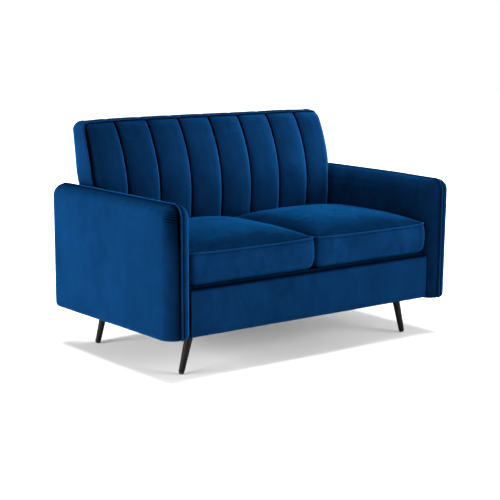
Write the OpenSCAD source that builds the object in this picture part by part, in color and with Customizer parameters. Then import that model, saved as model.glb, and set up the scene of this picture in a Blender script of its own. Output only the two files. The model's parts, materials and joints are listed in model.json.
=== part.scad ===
// Two-seat sofa: slab arms, a channelled back, two loose seat cushions and four splayed round legs.
// The origin is on the floor under the middle of the sofa. +Z is up, the sofa faces -Y, and
// "left" is -X, as seen by someone who stands in front of it. All sizes are in millimetres.

/* [Overall] */
// Width over both arms
sofa_w = 1290; // [1080:10:1600]
// Depth of the arms, over their piping
sofa_d = 806; // [700:2:960]
// Height of the top of the back above the floor
sofa_h = 836; // [700:2:1000]
// Height of the underside above the floor
under_h = 153; // [120:1:190]

/* [Arms] */
// Thickness of an arm
arm_t = 100; // [80:1:130]
// Height of the top of an arm above the floor
arm_h = 609; // [500:1:700]
// Radius added to half the arm's thickness at the arm's two top corners
arm_corner = 10; // [4:1:30]
// Thickness of the timber frame inside an arm
arm_frame_t = 54; // [40:1:60]
// Padding between the top, front and back of the arm frame and the arm's surface
arm_pad = 46; // [35:1:60]
// Width of the members of the arm frame
arm_member = 70; // [50:1:90]
// Thickness of the web board in the middle of the arm frame
arm_web_t = 5; // [3:1:12]

/* [Seat frame] */
// Height of the seat deck above the floor
deck_h = 318; // [265:1:360]
// Distance from the front of the arms to the front of the seat rail
front_setback = 23; // [10:1:50]
// Distance from the back of the arms to the back of the seat frame
rear_setback = 81; // [40:1:110]
// Thickness of the seat rails
rail_t = 25; // [18:1:32]
// Thickness of the padding on the front rail
rail_foam_t = 10; // [5:1:20]
// Thickness of the pad on the seat deck
deck_pad_t = 13; // [8:1:20]
// Height of the corner blocks that the legs screw to
block_h = 60; // [45:1:80]
// Size of a corner block along each side
block_size = 90; // [76:1:110]

/* [Springs] */
// Number of seat springs
spring_count = 8; // [4:1:10]
// Width between the bends of a spring
spring_w = 34; // [20:1:44]
// Number of bends in a spring
spring_bends = 15; // [9:2:21]
// Thickness of the spring wire
wire_t = 3.5; // [2.5:0.1:4.5]
// Height of a spring clip
clip_h = 9; // [8:0.5:14]
// Width and length of a spring clip
clip_size = [20, 16];

/* [Back] */
// Height of the most forward point of the back above the floor
lumbar_h = 552; // [480:1:620]
// Distance from the back of the seat frame to that point
lumbar_depth = 149; // [135:1:180]
// How far the foot of the back is behind that point
lumbar_hollow = 30; // [5:1:45]
// Thickness of the back at its top
back_top_t = 97; // [88:1:120]
// Height at which the back begins to lean
rake_h = 480; // [440:1:520]
// Lean of the outside of the back
rake_deg = 7.2; // [2:0.1:12]
// Radius between the top and the outside of the back
back_corner = 38; // [15:1:45]
// Number of upright channels
channel_count = 8; // [4:2:12]
// Thickness of the filled channels
channel_t = 30; // [18:1:40]
// Width of the two outer channels that is taken up where they turn round the side
channel_wrap = 23; // [0:1:40]
// Width of a back post
post_w = 35; // [25:1:45]
// Depth of a back post
post_d = 45; // [35:1:50]
// Distance from the top of the back to the top of the posts
post_drop = 42; // [42:1:70]
// Height of the top rail
top_rail_h = 60; // [40:1:80]
// Width of an elastic strap
strap_w = 50; // [30:1:60]
// Thickness of an elastic strap
strap_t = 2; // [1:0.5:3]
// Number of elastic straps
strap_count = 5; // [3:1:6]

/* [Cushions] */
// Height of the cushion's side band, from the deck to the piping
band_h = 124; // [90:1:150]
// Height of the crown above the piping
crown_h = 42; // [15:1:60]
// Distance from the front of the seat rail to the front of the cushions
cushion_setback = 3; // [0:1:20]
// Gap between the cushions and the back
cushion_back_gap = 9; // [8:1:20]
// Radius of the cushion's upright corners
cushion_r = 18; // [8:1:40]
// Length of the zip in the back of a cushion
zip_len = 440; // [250:1:460]
// Width of the zip's tape
zip_tape_w = 26; // [20:1:34]

/* [Legs] */
// Distance from the outside of the sofa to the middle of a foot, across and front to back
foot_inset = [125, 125];
// Angle that a leg leans inwards, from foot to top
leg_splay = 14.9; // [0:0.1:18]
// Diameter of a leg at its top
leg_top_d = 30; // [22:1:36]
// Diameter of a leg at its foot
leg_foot_d = 21; // [14:1:24]
// Thickness of the glide under a leg
glide_t = 5; // [4:0.5:10]
// Side of the leg plate
plate_size = 60; // [50:1:66]
// Thickness of the leg plate
plate_t = 2.5; // [2:0.1:3]
// Diameter of the hanger bolt in a leg
hanger_d = 8; // [6:1:10]

/* [Cloth and fasteners] */
// Thickness of the velvet cover with its lining
cover_t = 2.5; // [1.5:0.1:3]
// Thickness of the outside back panel
panel_t = 3; // [2:0.1:5]
// Width of the piping
piping_t = 5; // [3:0.1:7]
// Diameter of the frame bolts
bolt_d = 8; // [6:1:10]
// Diameter of the leg plate screws
screw_d = 4.4; // [3.5:0.1:5]

/* [Hidden] */
$fn = 48;
HULL_FN = 32;
CROWN_FN = 256;                // the wide, shallow curve of a cushion's crown
fit = 0.3;                     // clearance between pieces that lie against each other
bore_fit = 0.05;               // radial clearance of a bolt in its hole
side_gap = 1;                  // gap between the seat frame and an arm
cushion_gap = 0.75;            // gap at each side of a cushion
arm_x = sofa_w / 2 - arm_t / 2;
inner_x = sofa_w / 2 - arm_t;
base_x = inner_x - side_gap;
half_d = sofa_d / 2;
base_front = -half_d + front_setback;
base_back = half_d - rear_setback;
wood_z = under_h + cover_t;
rail_top = deck_h - deck_pad_t - clip_h;
rail_h = rail_top - wood_z;
front_wood = base_front + cover_t + rail_foam_t;
front_inner = front_wood + rail_t;
lip_end = front_inner + 12;    // back edge of the cover that is turned over the front rail
post_back = base_back - panel_t;
post_front = post_back - post_d;
rear_inner = post_back - rail_t;
side_inner = base_x - rail_t;
post_outer = base_x - cover_t - fit;
post_inner = post_outer - post_w;
post_top = sofa_h - post_drop;

// Back: every outline is in the Y, Z plane
lumbar_y = base_back - lumbar_depth;
foot_z = deck_h + fit;
back_bend = (rear_y(sofa_h) - back_top_t - lumbar_y) / pow(sofa_h - lumbar_h, 2);
foot_bend = lumbar_hollow / pow(lumbar_h - deck_h, 2);
channel_pitch = 2 * (base_x + channel_wrap) / channel_count;
channel_top = sofa_h - piping_t - 1;
BACK_STEPS = 12;
corner_c = [rear_y(sofa_h - back_corner) - back_corner, sofa_h - back_corner];
strap_first = deck_h + 40;
strap_pitch = (post_top - top_rail_h - strap_first) / strap_count;

// Cushions
cushion_w = inner_x - 2 * cushion_gap;
cushion_x = inner_x / 2;
cushion_front = base_front + cushion_setback;
cushion_back = lumbar_y - cushion_back_gap;
cushion_d = cushion_back - cushion_front;
cushion_y = (cushion_back + cushion_front) / 2;
cushion_z = deck_h + fit;
foam_gap = 0.5;
zip_z = cushion_z + band_h * 0.45;
tape_t = 1.2;
teeth_t = 2.2;
teeth_w = 5;
slit_w = 8;
slit_end = 6;                  // closed end of the slit under the zip tape
slider_size = [14, 4.4, 10];
slider_gap = 0.4;
pull_size = [6, 1.4, 26];

// Legs
foot_x = sofa_w / 2 - foot_inset[0];
foot_y = half_d - foot_inset[1];
plate_z = wood_z - plate_t;
leg_top_z = plate_z - leg_top_d / 2 * sin(leg_splay) - 1;
leg_len = leg_top_z / cos(leg_splay);
plate_x = foot_x - plate_z * tan(leg_splay);
hanger_in_leg = 35;
hanger_in_block = 45;
screw_pitch = plate_size - 16;
screw_len = 22;
screw_head = [9, 2.2];         // diameter and height
block_in_y = [front_inner, rear_inner];

// Frame bolts
bolt_by_block = 25;            // from a corner block to the bolt next to it
arm_bolt_y = [front_inner + block_size + bolt_by_block, 0, rear_inner - block_size - bolt_by_block];
arm_bolt_z = wood_z + 0.6 * arm_member;
arm_frame_x = arm_x - arm_frame_t / 2;
insert_d = 12;
insert_len = 20;
arm_bolt_len = arm_frame_x + insert_len - side_inner;
back_bolt_z = [wood_z + 0.3 * rail_h, wood_z + 0.75 * rail_h];
back_bolt_x = base_x - rail_t / 2;
back_bolt_len = post_d + insert_len;
bolt_head = [15, 5];           // diameter and height

VELVET = [0.05, 0.20, 0.42];
PIPING = [0.03, 0.13, 0.30];
TIMBER = [0.80, 0.66, 0.45];
FOAM = [0.93, 0.88, 0.62];
STEEL = [0.62, 0.63, 0.66];
BLACK = [0.07, 0.07, 0.07];
CLOTH = [0.16, 0.16, 0.17];

// ---------- shared shapes ----------

function arc(c, r, from, to, steps = 8) =
  [for (i = [0:steps]) let (a = from + (to - from) * i / steps) c + r * [cos(a), sin(a)]];

function reversed(list) = [for (i = [len(list) - 1:-1:0]) list[i]];

// A rounded rectangle's points, centred on the origin
function rounded(w, d, r) = concat(
  arc([w / 2 - r, d / 2 - r], r, 0, 90), arc([r - w / 2, d / 2 - r], r, 90, 180),
  arc([r - w / 2, r - d / 2], r, 180, 270), arc([w / 2 - r, r - d / 2], r, 270, 360));

module box(from, to) {
  translate(from) cube(to - from);
}

// A Y, Z outline made solid from one X to another
module along_x(from, to) {
  translate([from, 0, 0]) rotate([90, 0, 90]) linear_extrude(to - from) children();
}

module bar_x(d, len) {
  rotate([0, 90, 0]) cylinder(d = d, h = len);
}

module bar_y(d, len) {
  rotate([-90, 0, 0]) cylinder(d = d, h = len);
}

// ---------- legs ----------

// Places a shape at a foot, with +Z along the leg
module at_foot(side, end) {
  translate([side * foot_x, end * foot_y, 0]) rotate([0, -side * leg_splay, 0]) children();
}

module at_feet() {
  for (side = [-1, 1], end = [-1, 1]) at_foot(side, end) children();
}

module at_plates() {
  for (side = [-1, 1], end = [-1, 1]) translate([side * plate_x, end * foot_y, 0]) children();
}

module at_screws() {
  at_plates()
    for (a = [-1, 1], b = [-1, 1]) translate([a * screw_pitch / 2, b * screw_pitch / 2, 0]) children();
}

// What the leg fasteners need cut out of the timber above them
module leg_holes() {
  at_screws() translate([0, 0, plate_z]) cylinder(d = screw_d + 2 * bore_fit, h = screw_len + 2);
  at_feet() translate([0, 0, leg_len]) cylinder(d = hanger_d + 2, h = hanger_in_block + 3);
}

module leg(side, end) {
  color(BLACK) difference() {
    at_foot(side, end)
      translate([0, 0, glide_t]) cylinder(d1 = leg_foot_d, d2 = leg_top_d, h = leg_len - glide_t);
    at_foot(side, end)
      translate([0, 0, leg_len - hanger_in_leg - 2])
        cylinder(d = hanger_d + 2 * bore_fit, h = hanger_in_leg + 4);
  }
}

module foot_glides() {
  color(CLOTH) for (side = [-1, 1], end = [-1, 1])
    intersection() {
      at_foot(side, end) translate([0, 0, -glide_t]) cylinder(d = leg_foot_d - 1, h = 2 * glide_t);
      translate([side * foot_x, end * foot_y, 0])
        box([-leg_top_d, -leg_top_d, 0], [leg_top_d, leg_top_d, 2 * glide_t]);
    }
}

module leg_plates() {
  color(BLACK) for (side = [-1, 1], end = [-1, 1])
    difference() {
      union() {
        translate([side * plate_x, end * foot_y, plate_z]) linear_extrude(plate_t)
          polygon(rounded(plate_size, plate_size, 6));
        intersection() {
          at_foot(side, end) translate([0, 0, leg_len]) cylinder(d = leg_top_d - 2, h = 2 * leg_top_d);
          translate([side * plate_x, end * foot_y, 0])
            box([-plate_size / 2, -plate_size / 2, 0], [plate_size / 2, plate_size / 2, wood_z]);
        }
      }
      at_foot(side, end) translate([0, 0, leg_len - 1])
        cylinder(d = hanger_d + 2 * bore_fit, h = 3 * leg_top_d);
      at_screws() translate([0, 0, plate_z - 1]) cylinder(d = screw_d + 0.6, h = plate_t + 2);
    }
}

module leg_plate_screws() {
  color(STEEL) at_screws() {
    translate([0, 0, plate_z - screw_head[1]]) cylinder(d = screw_head[0], h = screw_head[1]);
    translate([0, 0, plate_z]) cylinder(d = screw_d, h = screw_len);
  }
}

module leg_hanger_bolts() {
  color(STEEL) at_feet() translate([0, 0, leg_len - hanger_in_leg])
    cylinder(d = hanger_d, h = hanger_in_leg + hanger_in_block);
}

// ---------- seat frame ----------

module front_rail() {
  color(TIMBER) difference() {
    box([-base_x, front_wood, wood_z], [base_x, front_inner, rail_top]);
    leg_holes();
  }
}

module rear_rail() {
  color(TIMBER) difference() {
    box([-post_inner, rear_inner, wood_z], [post_inner, post_back, rail_top]);
    leg_holes();
  }
}

module side_rail(side) {
  x0 = side > 0 ? side_inner : -base_x;
  color(TIMBER) difference() {
    box([x0, front_inner, wood_z], [x0 + rail_t, post_front, rail_top]);
    for (y = arm_bolt_y) translate([side * side_inner, y, arm_bolt_z])
      rotate([0, side > 0 ? 0 : 180, 0]) translate([-1, 0, 0]) bar_x(bolt_d + 1, rail_t + 2);
    for (z = back_bolt_z) translate([side * back_bolt_x, post_front - insert_len, z])
      bar_y(insert_d, insert_len + 1);
    leg_holes();
  }
}

module centre_brace() {
  color(TIMBER) box([-rail_t / 2, front_inner, wood_z], [rail_t / 2, rear_inner, rail_top - 8]);
}

module corner_blocks() {
  color(TIMBER) difference() {
    for (side = [-1, 1], end = [0, 1]) {
      outer = end == 0 ? side_inner : min(side_inner, post_inner);
      mid = plate_x;
      low_y = end == 0 ? block_in_y[0] : block_in_y[1] - block_size;
      x0 = min(side * outer, side * (mid - block_size / 2));
      x1 = max(side * outer, side * (mid - block_size / 2));
      box([x0, low_y, wood_z], [x1, low_y + block_size, wood_z + block_h]);
    }
    leg_holes();
  }
}

module front_rail_foam() {
  color(FOAM) along_x(-base_x, base_x) polygon([
    [base_front + cover_t, wood_z], [front_wood, wood_z], [front_wood, rail_top + clip_h],
    [lip_end, rail_top + clip_h], [lip_end, deck_h - cover_t], [base_front + cover_t, deck_h - cover_t]]);
}

module front_rail_cover() {
  color(VELVET) along_x(-base_x, base_x) polygon([
    [base_front, under_h], [front_inner, under_h], [front_inner, wood_z],
    [base_front + cover_t, wood_z], [base_front + cover_t, deck_h - cover_t],
    [lip_end, deck_h - cover_t], [lip_end, deck_h], [base_front, deck_h]]);
}

module dust_cover() {
  color(CLOTH) difference() {
    box([-base_x, front_inner + 1, wood_z - 1], [base_x, post_back - 1, wood_z]);
    at_plates() box([-plate_size / 2 - 2, -plate_size / 2 - 2, wood_z - 2],
                    [plate_size / 2 + 2, plate_size / 2 + 2, wood_z + 1]);
  }
}

module deck_pad() {
  color(FOAM) box([-base_x, lip_end, rail_top + clip_h], [base_x, post_front, deck_h]);
}

spring_pitch_x = 2 * post_inner / spring_count;
clip_y = [front_inner - rail_t / 2, rear_inner + rail_t / 2];
bend_r = (clip_y[1] - clip_y[0]) / spring_bends / 2;
wire_z = rail_top + (clip_h - wire_t) / 2;

module at_springs() {
  for (i = [0:spring_count - 1]) translate([(i - (spring_count - 1) / 2) * spring_pitch_x, 0, 0]) children();
}

// One edge of a spring: half circles that swing to alternate sides
function spring_edge(edge) = [for (j = [0:spring_bends - 1], i = [0:6])
  let (side = j % 2 == 0 ? 1 : -1, r = bend_r + edge * side * wire_t / 2, a = 30 * i)
  [side * (spring_w / 2 + r * sin(a)), clip_y[0] + (2 * j + 1) * bend_r - r * cos(a)]];

function spring_ends(edge) = concat(
  [[-spring_w / 2, clip_y[0] - edge * wire_t / 2]], spring_edge(edge),
  [[-spring_w / 2, clip_y[1] + edge * wire_t / 2]]);

module seat_springs() {
  color(STEEL) at_springs() translate([0, 0, wire_z]) linear_extrude(wire_t)
    polygon(concat(spring_ends(1), reversed(spring_ends(-1))));
}

module spring_clips() {
  color(STEEL) at_springs() for (end = [0, 1])
    translate([0, clip_y[end], rail_top]) difference() {
      box([-clip_size[0] / 2, -clip_size[1] / 2, 0], [clip_size[0] / 2, clip_size[1] / 2, clip_h]);
      box([-clip_size[0], -wire_t / 2 - fit, wire_z - rail_top - fit],
          [clip_size[0], wire_t / 2 + fit, wire_z - rail_top + wire_t + fit]);
    }
}

// ---------- arms ----------

// The arm's soft slab, inset from its outer surface. Its front, top and back edges are half round.
module arm_slab(side, inset) {
  r = arm_t / 2 - inset;
  reach = half_d - piping_t - fit;
  top = arm_h - piping_t - fit;
  hull() for (end = [-1, 1]) {
    translate([side * arm_x, end * (reach - arm_t / 2 - arm_corner), top - arm_t / 2 - arm_corner])
      rotate([0, 90, 0]) rotate_extrude($fn = HULL_FN) intersection() {
        translate([arm_corner, 0]) circle(r = r, $fn = HULL_FN);
        translate([0, -r]) square([r + arm_corner, 2 * r]);
      }
    translate([side * arm_x, end * (reach - arm_t / 2), under_h + (inset > 0 ? cover_t : 0)])
      cylinder(r = r, h = 1, $fn = HULL_FN);
  }
}

// Outline of the arm in the Y, Z plane, as a sheet along its middle
function arm_outline(inset, bottom, radius) = let (
    w = half_d - inset, top = arm_h - inset, r = radius) concat(
  [[w, bottom]], arc([w - r, top - r], r, 0, 90), arc([r - w, top - r], r, 90, 180), [[-w, bottom]]);

module arm_half(side, outer) {
  x0 = arm_x - (outer ? 0 : arm_t);
  intersection() {
    difference() {
      arm_slab(side, 0);
      arm_slab(side, cover_t);
    }
    scale([side, 1, 1]) box([x0 + (outer ? fit / 2 : 0), -half_d, 0],
                            [x0 + arm_t - (outer ? 0 : fit / 2), half_d, arm_h]);
  }
}

module arm_bolt_holes(side, d) {
  for (y = arm_bolt_y) translate([side * inner_x, y, arm_bolt_z])
    rotate([0, side > 0 ? 0 : 180, 0]) translate([-1, 0, 0])
      bar_x(d, arm_frame_x + insert_len + 5 - inner_x);
}

module arm_frame_space(side, grow) {
  along_x(side * arm_x - arm_frame_t / 2 - grow, side * arm_x + arm_frame_t / 2 + grow)
    polygon(arm_outline(arm_pad - grow, wood_z, arm_corner + 20 + grow));
}

module arm_frame(side) {
  window = [half_d - arm_pad - arm_member, wood_z + arm_member, arm_h - arm_pad - arm_member];
  color(TIMBER) difference() {
    arm_frame_space(side, 0);
    for (face = [-1, 1]) translate([side * arm_x + face * (arm_frame_t + arm_web_t) / 2, 0, 0])
      for (half = [-1, 1]) box([-arm_frame_t / 2, half > 0 ? arm_member / 2 : -window[0], window[1]],
                               [arm_frame_t / 2, half > 0 ? window[0] : -arm_member / 2, window[2]]);
    arm_bolt_holes(side, insert_d);
  }
}

module arm_foam(side) {
  color(FOAM) difference() {
    arm_slab(side, cover_t + fit);
    arm_frame_space(side, fit);
    arm_bolt_holes(side, bolt_d + 4);
  }
}

module arm_outer_cover(side) {
  color(VELVET) arm_half(side, true);
}

module arm_inner_cover(side) {
  color(VELVET) difference() {
    arm_half(side, false);
    arm_bolt_holes(side, bolt_d + 2);
  }
}

module arm_piping(side) {
  corner = arm_t / 2 + arm_corner + piping_t;
  color(PIPING) along_x(side * arm_x - piping_t / 2, side * arm_x + piping_t / 2) difference() {
    polygon(arm_outline(0, under_h, corner));
    polygon(arm_outline(piping_t, under_h - 1, corner - piping_t));
  }
}

// ---------- back ----------

function rear_y(z) = base_back + max(0, z - rake_h) * tan(rake_deg);

function crest_y(z) = lumbar_y + (z > lumbar_h ? back_bend : foot_bend) * pow(z - lumbar_h, 2);

// Heights from one to another, with the height where the back begins to lean
function levels(low, high) = low < rake_h && rake_h < high ? [low, rake_h, high] : [low, high];

function heights(low, high) = [for (i = [0:BACK_STEPS]) low + (high - low) * i / BACK_STEPS];

module back_post(side) {
  x0 = side > 0 ? post_inner : -post_outer;
  color(TIMBER) difference() {
    along_x(x0, x0 + post_w) polygon(concat(
      [for (z = levels(wood_z, post_top)) [rear_y(z) - panel_t - post_d, z]],
      reversed([for (z = levels(wood_z, post_top)) [rear_y(z) - panel_t, z]])));
    for (z = back_bolt_z) translate([side * back_bolt_x, 0, z]) {
      translate([0, post_front - 1, 0]) bar_y(bolt_d + 1, post_d + 2);
      translate([0, post_back - bolt_head[1] - 1, 0]) bar_y(bolt_head[0] + 2, bolt_head[1] + 2);
    }
    leg_holes();
  }
}

module back_top_rail() {
  low = post_top - top_rail_h;
  color(TIMBER) along_x(-post_inner, post_inner) polygon([
    [rear_y(low) - panel_t - post_d, low], [rear_y(low) - panel_t, low],
    [rear_y(post_top) - panel_t, post_top], [rear_y(post_top) - panel_t - post_d, post_top]]);
}

module back_webbing() {
  color(CLOTH) for (i = [0:strap_count - 1]) {
    low = strap_first + i * strap_pitch;
    stops = levels(low, low + strap_w);
    along_x(-base_x + cover_t + fit, base_x - cover_t - fit) polygon(concat(
      [for (z = stops) [rear_y(z) - panel_t - post_d - strap_t, z]],
      reversed([for (z = stops) [rear_y(z) - panel_t - post_d, z]])));
  }
}

// The slab behind the channels, which also lies over the top rail
module back_foam() {
  x = base_x - piping_t - fit;
  r = back_corner - panel_t - 1;
  over_rail = post_top + fit;
  color(FOAM) along_x(-x, x) polygon(concat(
    [for (z = heights(foot_z, channel_top)) [crest_y(z) + channel_t + fit, z]],
    arc(corner_c, r, asin((channel_top - corner_c[1]) / r), 0), [[corner_c[0] + r, over_rail]],
    reversed([for (z = levels(foot_z, over_rail)) [rear_y(z) - panel_t - post_d - strap_t - fit, z]])));
}

function channel_x(i) = i == 0 ? -base_x : i == channel_count ? base_x
  : (i - channel_count / 2) * channel_pitch;

module back_channel(i) {
  color(VELVET) along_x(channel_x(i - 1) + fit / 2, channel_x(i) - fit / 2) polygon(concat(
    [for (z = heights(foot_z, channel_top)) [crest_y(z), z]],
    reversed([for (z = heights(foot_z, channel_top)) [crest_y(z) + channel_t, z]])));
}

// Front of the piping that lies in the seam behind the channels
function seam_y(z) = crest_y(z) + channel_t + 2 * fit;

// The band round the sides and the top of the back
module back_boxing() {
  zs = concat(heights(foot_z, sofa_h - piping_t), [sofa_h]);
  color(VELVET) difference() {
    along_x(-base_x, base_x) polygon(concat(
      [for (z = zs) [seam_y(z) + piping_t + fit, z]], arc(corner_c, back_corner, 90, 0),
      reversed([for (z = levels(foot_z, corner_c[1])) [rear_y(z) - panel_t - fit, z]])));
    along_x(-base_x + cover_t, base_x - cover_t) polygon(concat(
      [[lumbar_y - channel_t, foot_z - 1], [lumbar_y - channel_t, sofa_h - cover_t]],
      arc(corner_c, back_corner - cover_t, 90, 0),
      [[rear_y(sofa_h) + panel_t, corner_c[1]], [rear_y(sofa_h) + panel_t, foot_z - 1]]));
  }
}

module back_rear_panel() {
  zs = levels(under_h, corner_c[1] - fit);
  color(VELVET) along_x(-base_x, base_x) polygon(concat(
    [for (z = zs) [rear_y(z) - panel_t, z]], reversed([for (z = zs) [rear_y(z), z]])));
}

module piping_strip(zs) {
  polygon(concat([for (z = zs) [seam_y(z), z]], reversed([for (z = zs) [seam_y(z) + piping_t, z]])));
}

module back_piping() {
  zs = concat(heights(foot_z, sofa_h - piping_t), [sofa_h]);
  color(PIPING) {
    for (x = [-base_x, base_x - piping_t]) along_x(x, x + piping_t) piping_strip(zs);
    along_x(-base_x, base_x) piping_strip([sofa_h - piping_t, sofa_h]);
  }
}

// ---------- frame fasteners ----------

module arm_bolts() {
  color(STEEL) for (side = [-1, 1], y = arm_bolt_y)
    translate([side * side_inner, y, arm_bolt_z]) rotate([0, side > 0 ? 0 : 180, 0]) {
      bar_x(bolt_d, arm_bolt_len);
      translate([-bolt_head[1], 0, 0]) bar_x(bolt_head[0], bolt_head[1]);
    }
}

module back_bolts() {
  color(STEEL) for (side = [-1, 1], z = back_bolt_z)
    translate([side * back_bolt_x, post_front - insert_len, z]) {
      bar_y(bolt_d, back_bolt_len - bolt_head[1] - 1);
      translate([0, back_bolt_len - bolt_head[1] - 1, 0]) bar_y(bolt_head[0], bolt_head[1]);
    }
}

module insert() {
  difference() {
    cylinder(d = insert_d - 2 * bore_fit, h = insert_len - 0.5);
    translate([0, 0, -1]) cylinder(d = bolt_d + 2 * bore_fit, h = insert_len + 1);
  }
}

module threaded_inserts() {
  color(STEEL) {
    for (side = [-1, 1], y = arm_bolt_y)
      translate([side * (arm_frame_x + 0.5), y, arm_bolt_z]) rotate([0, side * 90, 0]) insert();
    for (side = [-1, 1], z = back_bolt_z)
      translate([side * back_bolt_x, post_front - insert_len, z]) rotate([-90, 0, 0]) insert();
  }
}

// ---------- cushions ----------

// A crowned cushion, inset from its outer surface, that stands on the deck
module cushion_solid(side, inset) {
  w = cushion_w - 2 * (piping_t + inset);
  d = cushion_d - 2 * (piping_t + inset);
  edge_z = cushion_z + band_h;
  top_z = edge_z + crown_h;
  rx = (pow(w / 2, 2) + pow(crown_h, 2)) / (2 * crown_h);
  ry = (pow(d / 2, 2) + pow(crown_h, 2)) / (2 * crown_h);
  translate([side * cushion_x, cushion_y, 0]) intersection() {
    translate([0, 0, cushion_z + inset]) linear_extrude(band_h + crown_h)
      polygon(rounded(w, d, cushion_r - inset));
    translate([0, -d, top_z - inset - rx]) rotate([-90, 0, 0])
      cylinder(r = rx, h = 2 * d, $fn = CROWN_FN);
    translate([-w, 0, top_z - inset - ry]) rotate([0, 90, 0])
      cylinder(r = ry, h = 2 * w, $fn = CROWN_FN);
  }
}

module cushion_foam(side) {
  color(FOAM) cushion_solid(side, cover_t + foam_gap);
}

// The cover is slit open behind its zip
module cushion_cover(side) {
  color(VELVET) difference() {
    cushion_solid(side, 0);
    cushion_solid(side, cover_t);
    at_zip(side) box([slit_end, -cover_t - 1, -slit_w / 2], [zip_len - slit_end, 1, slit_w / 2]);
  }
}

module cushion_piping(side) {
  color(PIPING) translate([side * cushion_x, cushion_y, cushion_z + band_h - piping_t])
    linear_extrude(piping_t) difference() {
      polygon(rounded(cushion_w, cushion_d, cushion_r + piping_t));
      polygon(rounded(cushion_w - 2 * piping_t + 2 * fit, cushion_d - 2 * piping_t + 2 * fit,
                      cushion_r + fit));
    }
}

// Places a shape at the left end of a cushion's zip, on the cushion's back
module at_zip(side) {
  translate([side * cushion_x - zip_len / 2, cushion_back - piping_t, zip_z]) children();
}

module cushion_zip(side) {
  color(BLACK) at_zip(side) {
    box([0, 0, -zip_tape_w / 2], [zip_len, tape_t, zip_tape_w / 2]);
    box([3, tape_t, -teeth_w / 2], [zip_len - 3, tape_t + teeth_t, teeth_w / 2]);
  }
}

module zip_slider(side) {
  color(STEEL) at_zip(side) translate([8, tape_t + slider_gap, 0]) {
    difference() {
      box([0, 0, -slider_size[2] / 2], [slider_size[0], slider_size[1], slider_size[2] / 2]);
      box([-1, -1, -teeth_w / 2 - slider_gap],
          [slider_size[0] + 1, teeth_t, teeth_w / 2 + slider_gap]);
    }
    translate([(slider_size[0] - pull_size[0]) / 2, slider_size[1], -pull_size[2]]) cube(
      [pull_size[0], pull_size[1], pull_size[2] + slider_size[2] / 2]);
  }
}

front_rail();
rear_rail();
side_rail(-1);  // side_rail_left
side_rail(1);  // side_rail_right
centre_brace();
corner_blocks();
seat_springs();
spring_clips();
deck_pad();
front_rail_foam();
front_rail_cover();
dust_cover();
arm_frame(-1);  // arm_frame_left
arm_frame(1);  // arm_frame_right
arm_foam(-1);  // arm_foam_left
arm_foam(1);  // arm_foam_right
arm_outer_cover(-1);  // arm_outer_cover_left
arm_outer_cover(1);  // arm_outer_cover_right
arm_inner_cover(-1);  // arm_inner_cover_left
arm_inner_cover(1);  // arm_inner_cover_right
arm_piping(-1);  // arm_piping_left
arm_piping(1);  // arm_piping_right
back_post(-1);  // back_post_left
back_post(1);  // back_post_right
back_top_rail();
back_webbing();
back_foam();
back_channel(1);  // back_channel_1
back_channel(2);  // back_channel_2
back_channel(3);  // back_channel_3
back_channel(4);  // back_channel_4
back_channel(5);  // back_channel_5
back_channel(6);  // back_channel_6
back_channel(7);  // back_channel_7
back_channel(8);  // back_channel_8
back_boxing();
back_rear_panel();
back_piping();
arm_bolts();
back_bolts();
threaded_inserts();
leg(-1, -1);  // leg_front_left
leg(1, -1);  // leg_front_right
leg(-1, 1);  // leg_rear_left
leg(1, 1);  // leg_rear_right
leg_plates();
leg_plate_screws();
leg_hanger_bolts();
foot_glides();
cushion_foam(-1);  // cushion_foam_left
cushion_foam(1);  // cushion_foam_right
cushion_cover(-1);  // cushion_cover_left
cushion_cover(1);  // cushion_cover_right
cushion_piping(-1);  // cushion_piping_left
cushion_piping(1);  // cushion_piping_right
cushion_zip(-1);  // cushion_zip_left
cushion_zip(1);  // cushion_zip_right
zip_slider(-1);  // zip_slider_left
zip_slider(1);  // zip_slider_right
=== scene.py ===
"""The looks of a two-seat velvet sofa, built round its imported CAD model.
Metres. +Z is up and the sofa faces -Y."""
import json
import math

import bmesh
import bpy
import numpy as np
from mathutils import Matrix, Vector, noise
from mathutils.bvhtree import BVHTree


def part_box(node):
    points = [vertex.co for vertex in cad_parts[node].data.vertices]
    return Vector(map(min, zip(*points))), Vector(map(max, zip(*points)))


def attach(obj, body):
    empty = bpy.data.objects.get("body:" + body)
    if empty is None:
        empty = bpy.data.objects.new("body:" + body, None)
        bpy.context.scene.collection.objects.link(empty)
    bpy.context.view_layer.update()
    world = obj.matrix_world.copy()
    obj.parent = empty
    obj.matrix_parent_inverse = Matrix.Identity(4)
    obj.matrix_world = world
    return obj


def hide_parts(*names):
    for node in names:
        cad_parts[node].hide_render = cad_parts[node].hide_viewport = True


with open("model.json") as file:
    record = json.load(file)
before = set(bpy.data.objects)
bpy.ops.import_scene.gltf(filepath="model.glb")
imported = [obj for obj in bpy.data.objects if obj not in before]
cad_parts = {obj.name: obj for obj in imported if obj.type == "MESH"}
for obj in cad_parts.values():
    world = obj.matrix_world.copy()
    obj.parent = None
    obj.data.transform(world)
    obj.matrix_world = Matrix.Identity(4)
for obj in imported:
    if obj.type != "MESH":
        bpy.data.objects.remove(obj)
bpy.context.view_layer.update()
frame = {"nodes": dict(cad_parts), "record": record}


# ---------- places, read from the CAD model ----------

def low(node):
    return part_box(node)[0]


def high(node):
    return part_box(node)[1]


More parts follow.
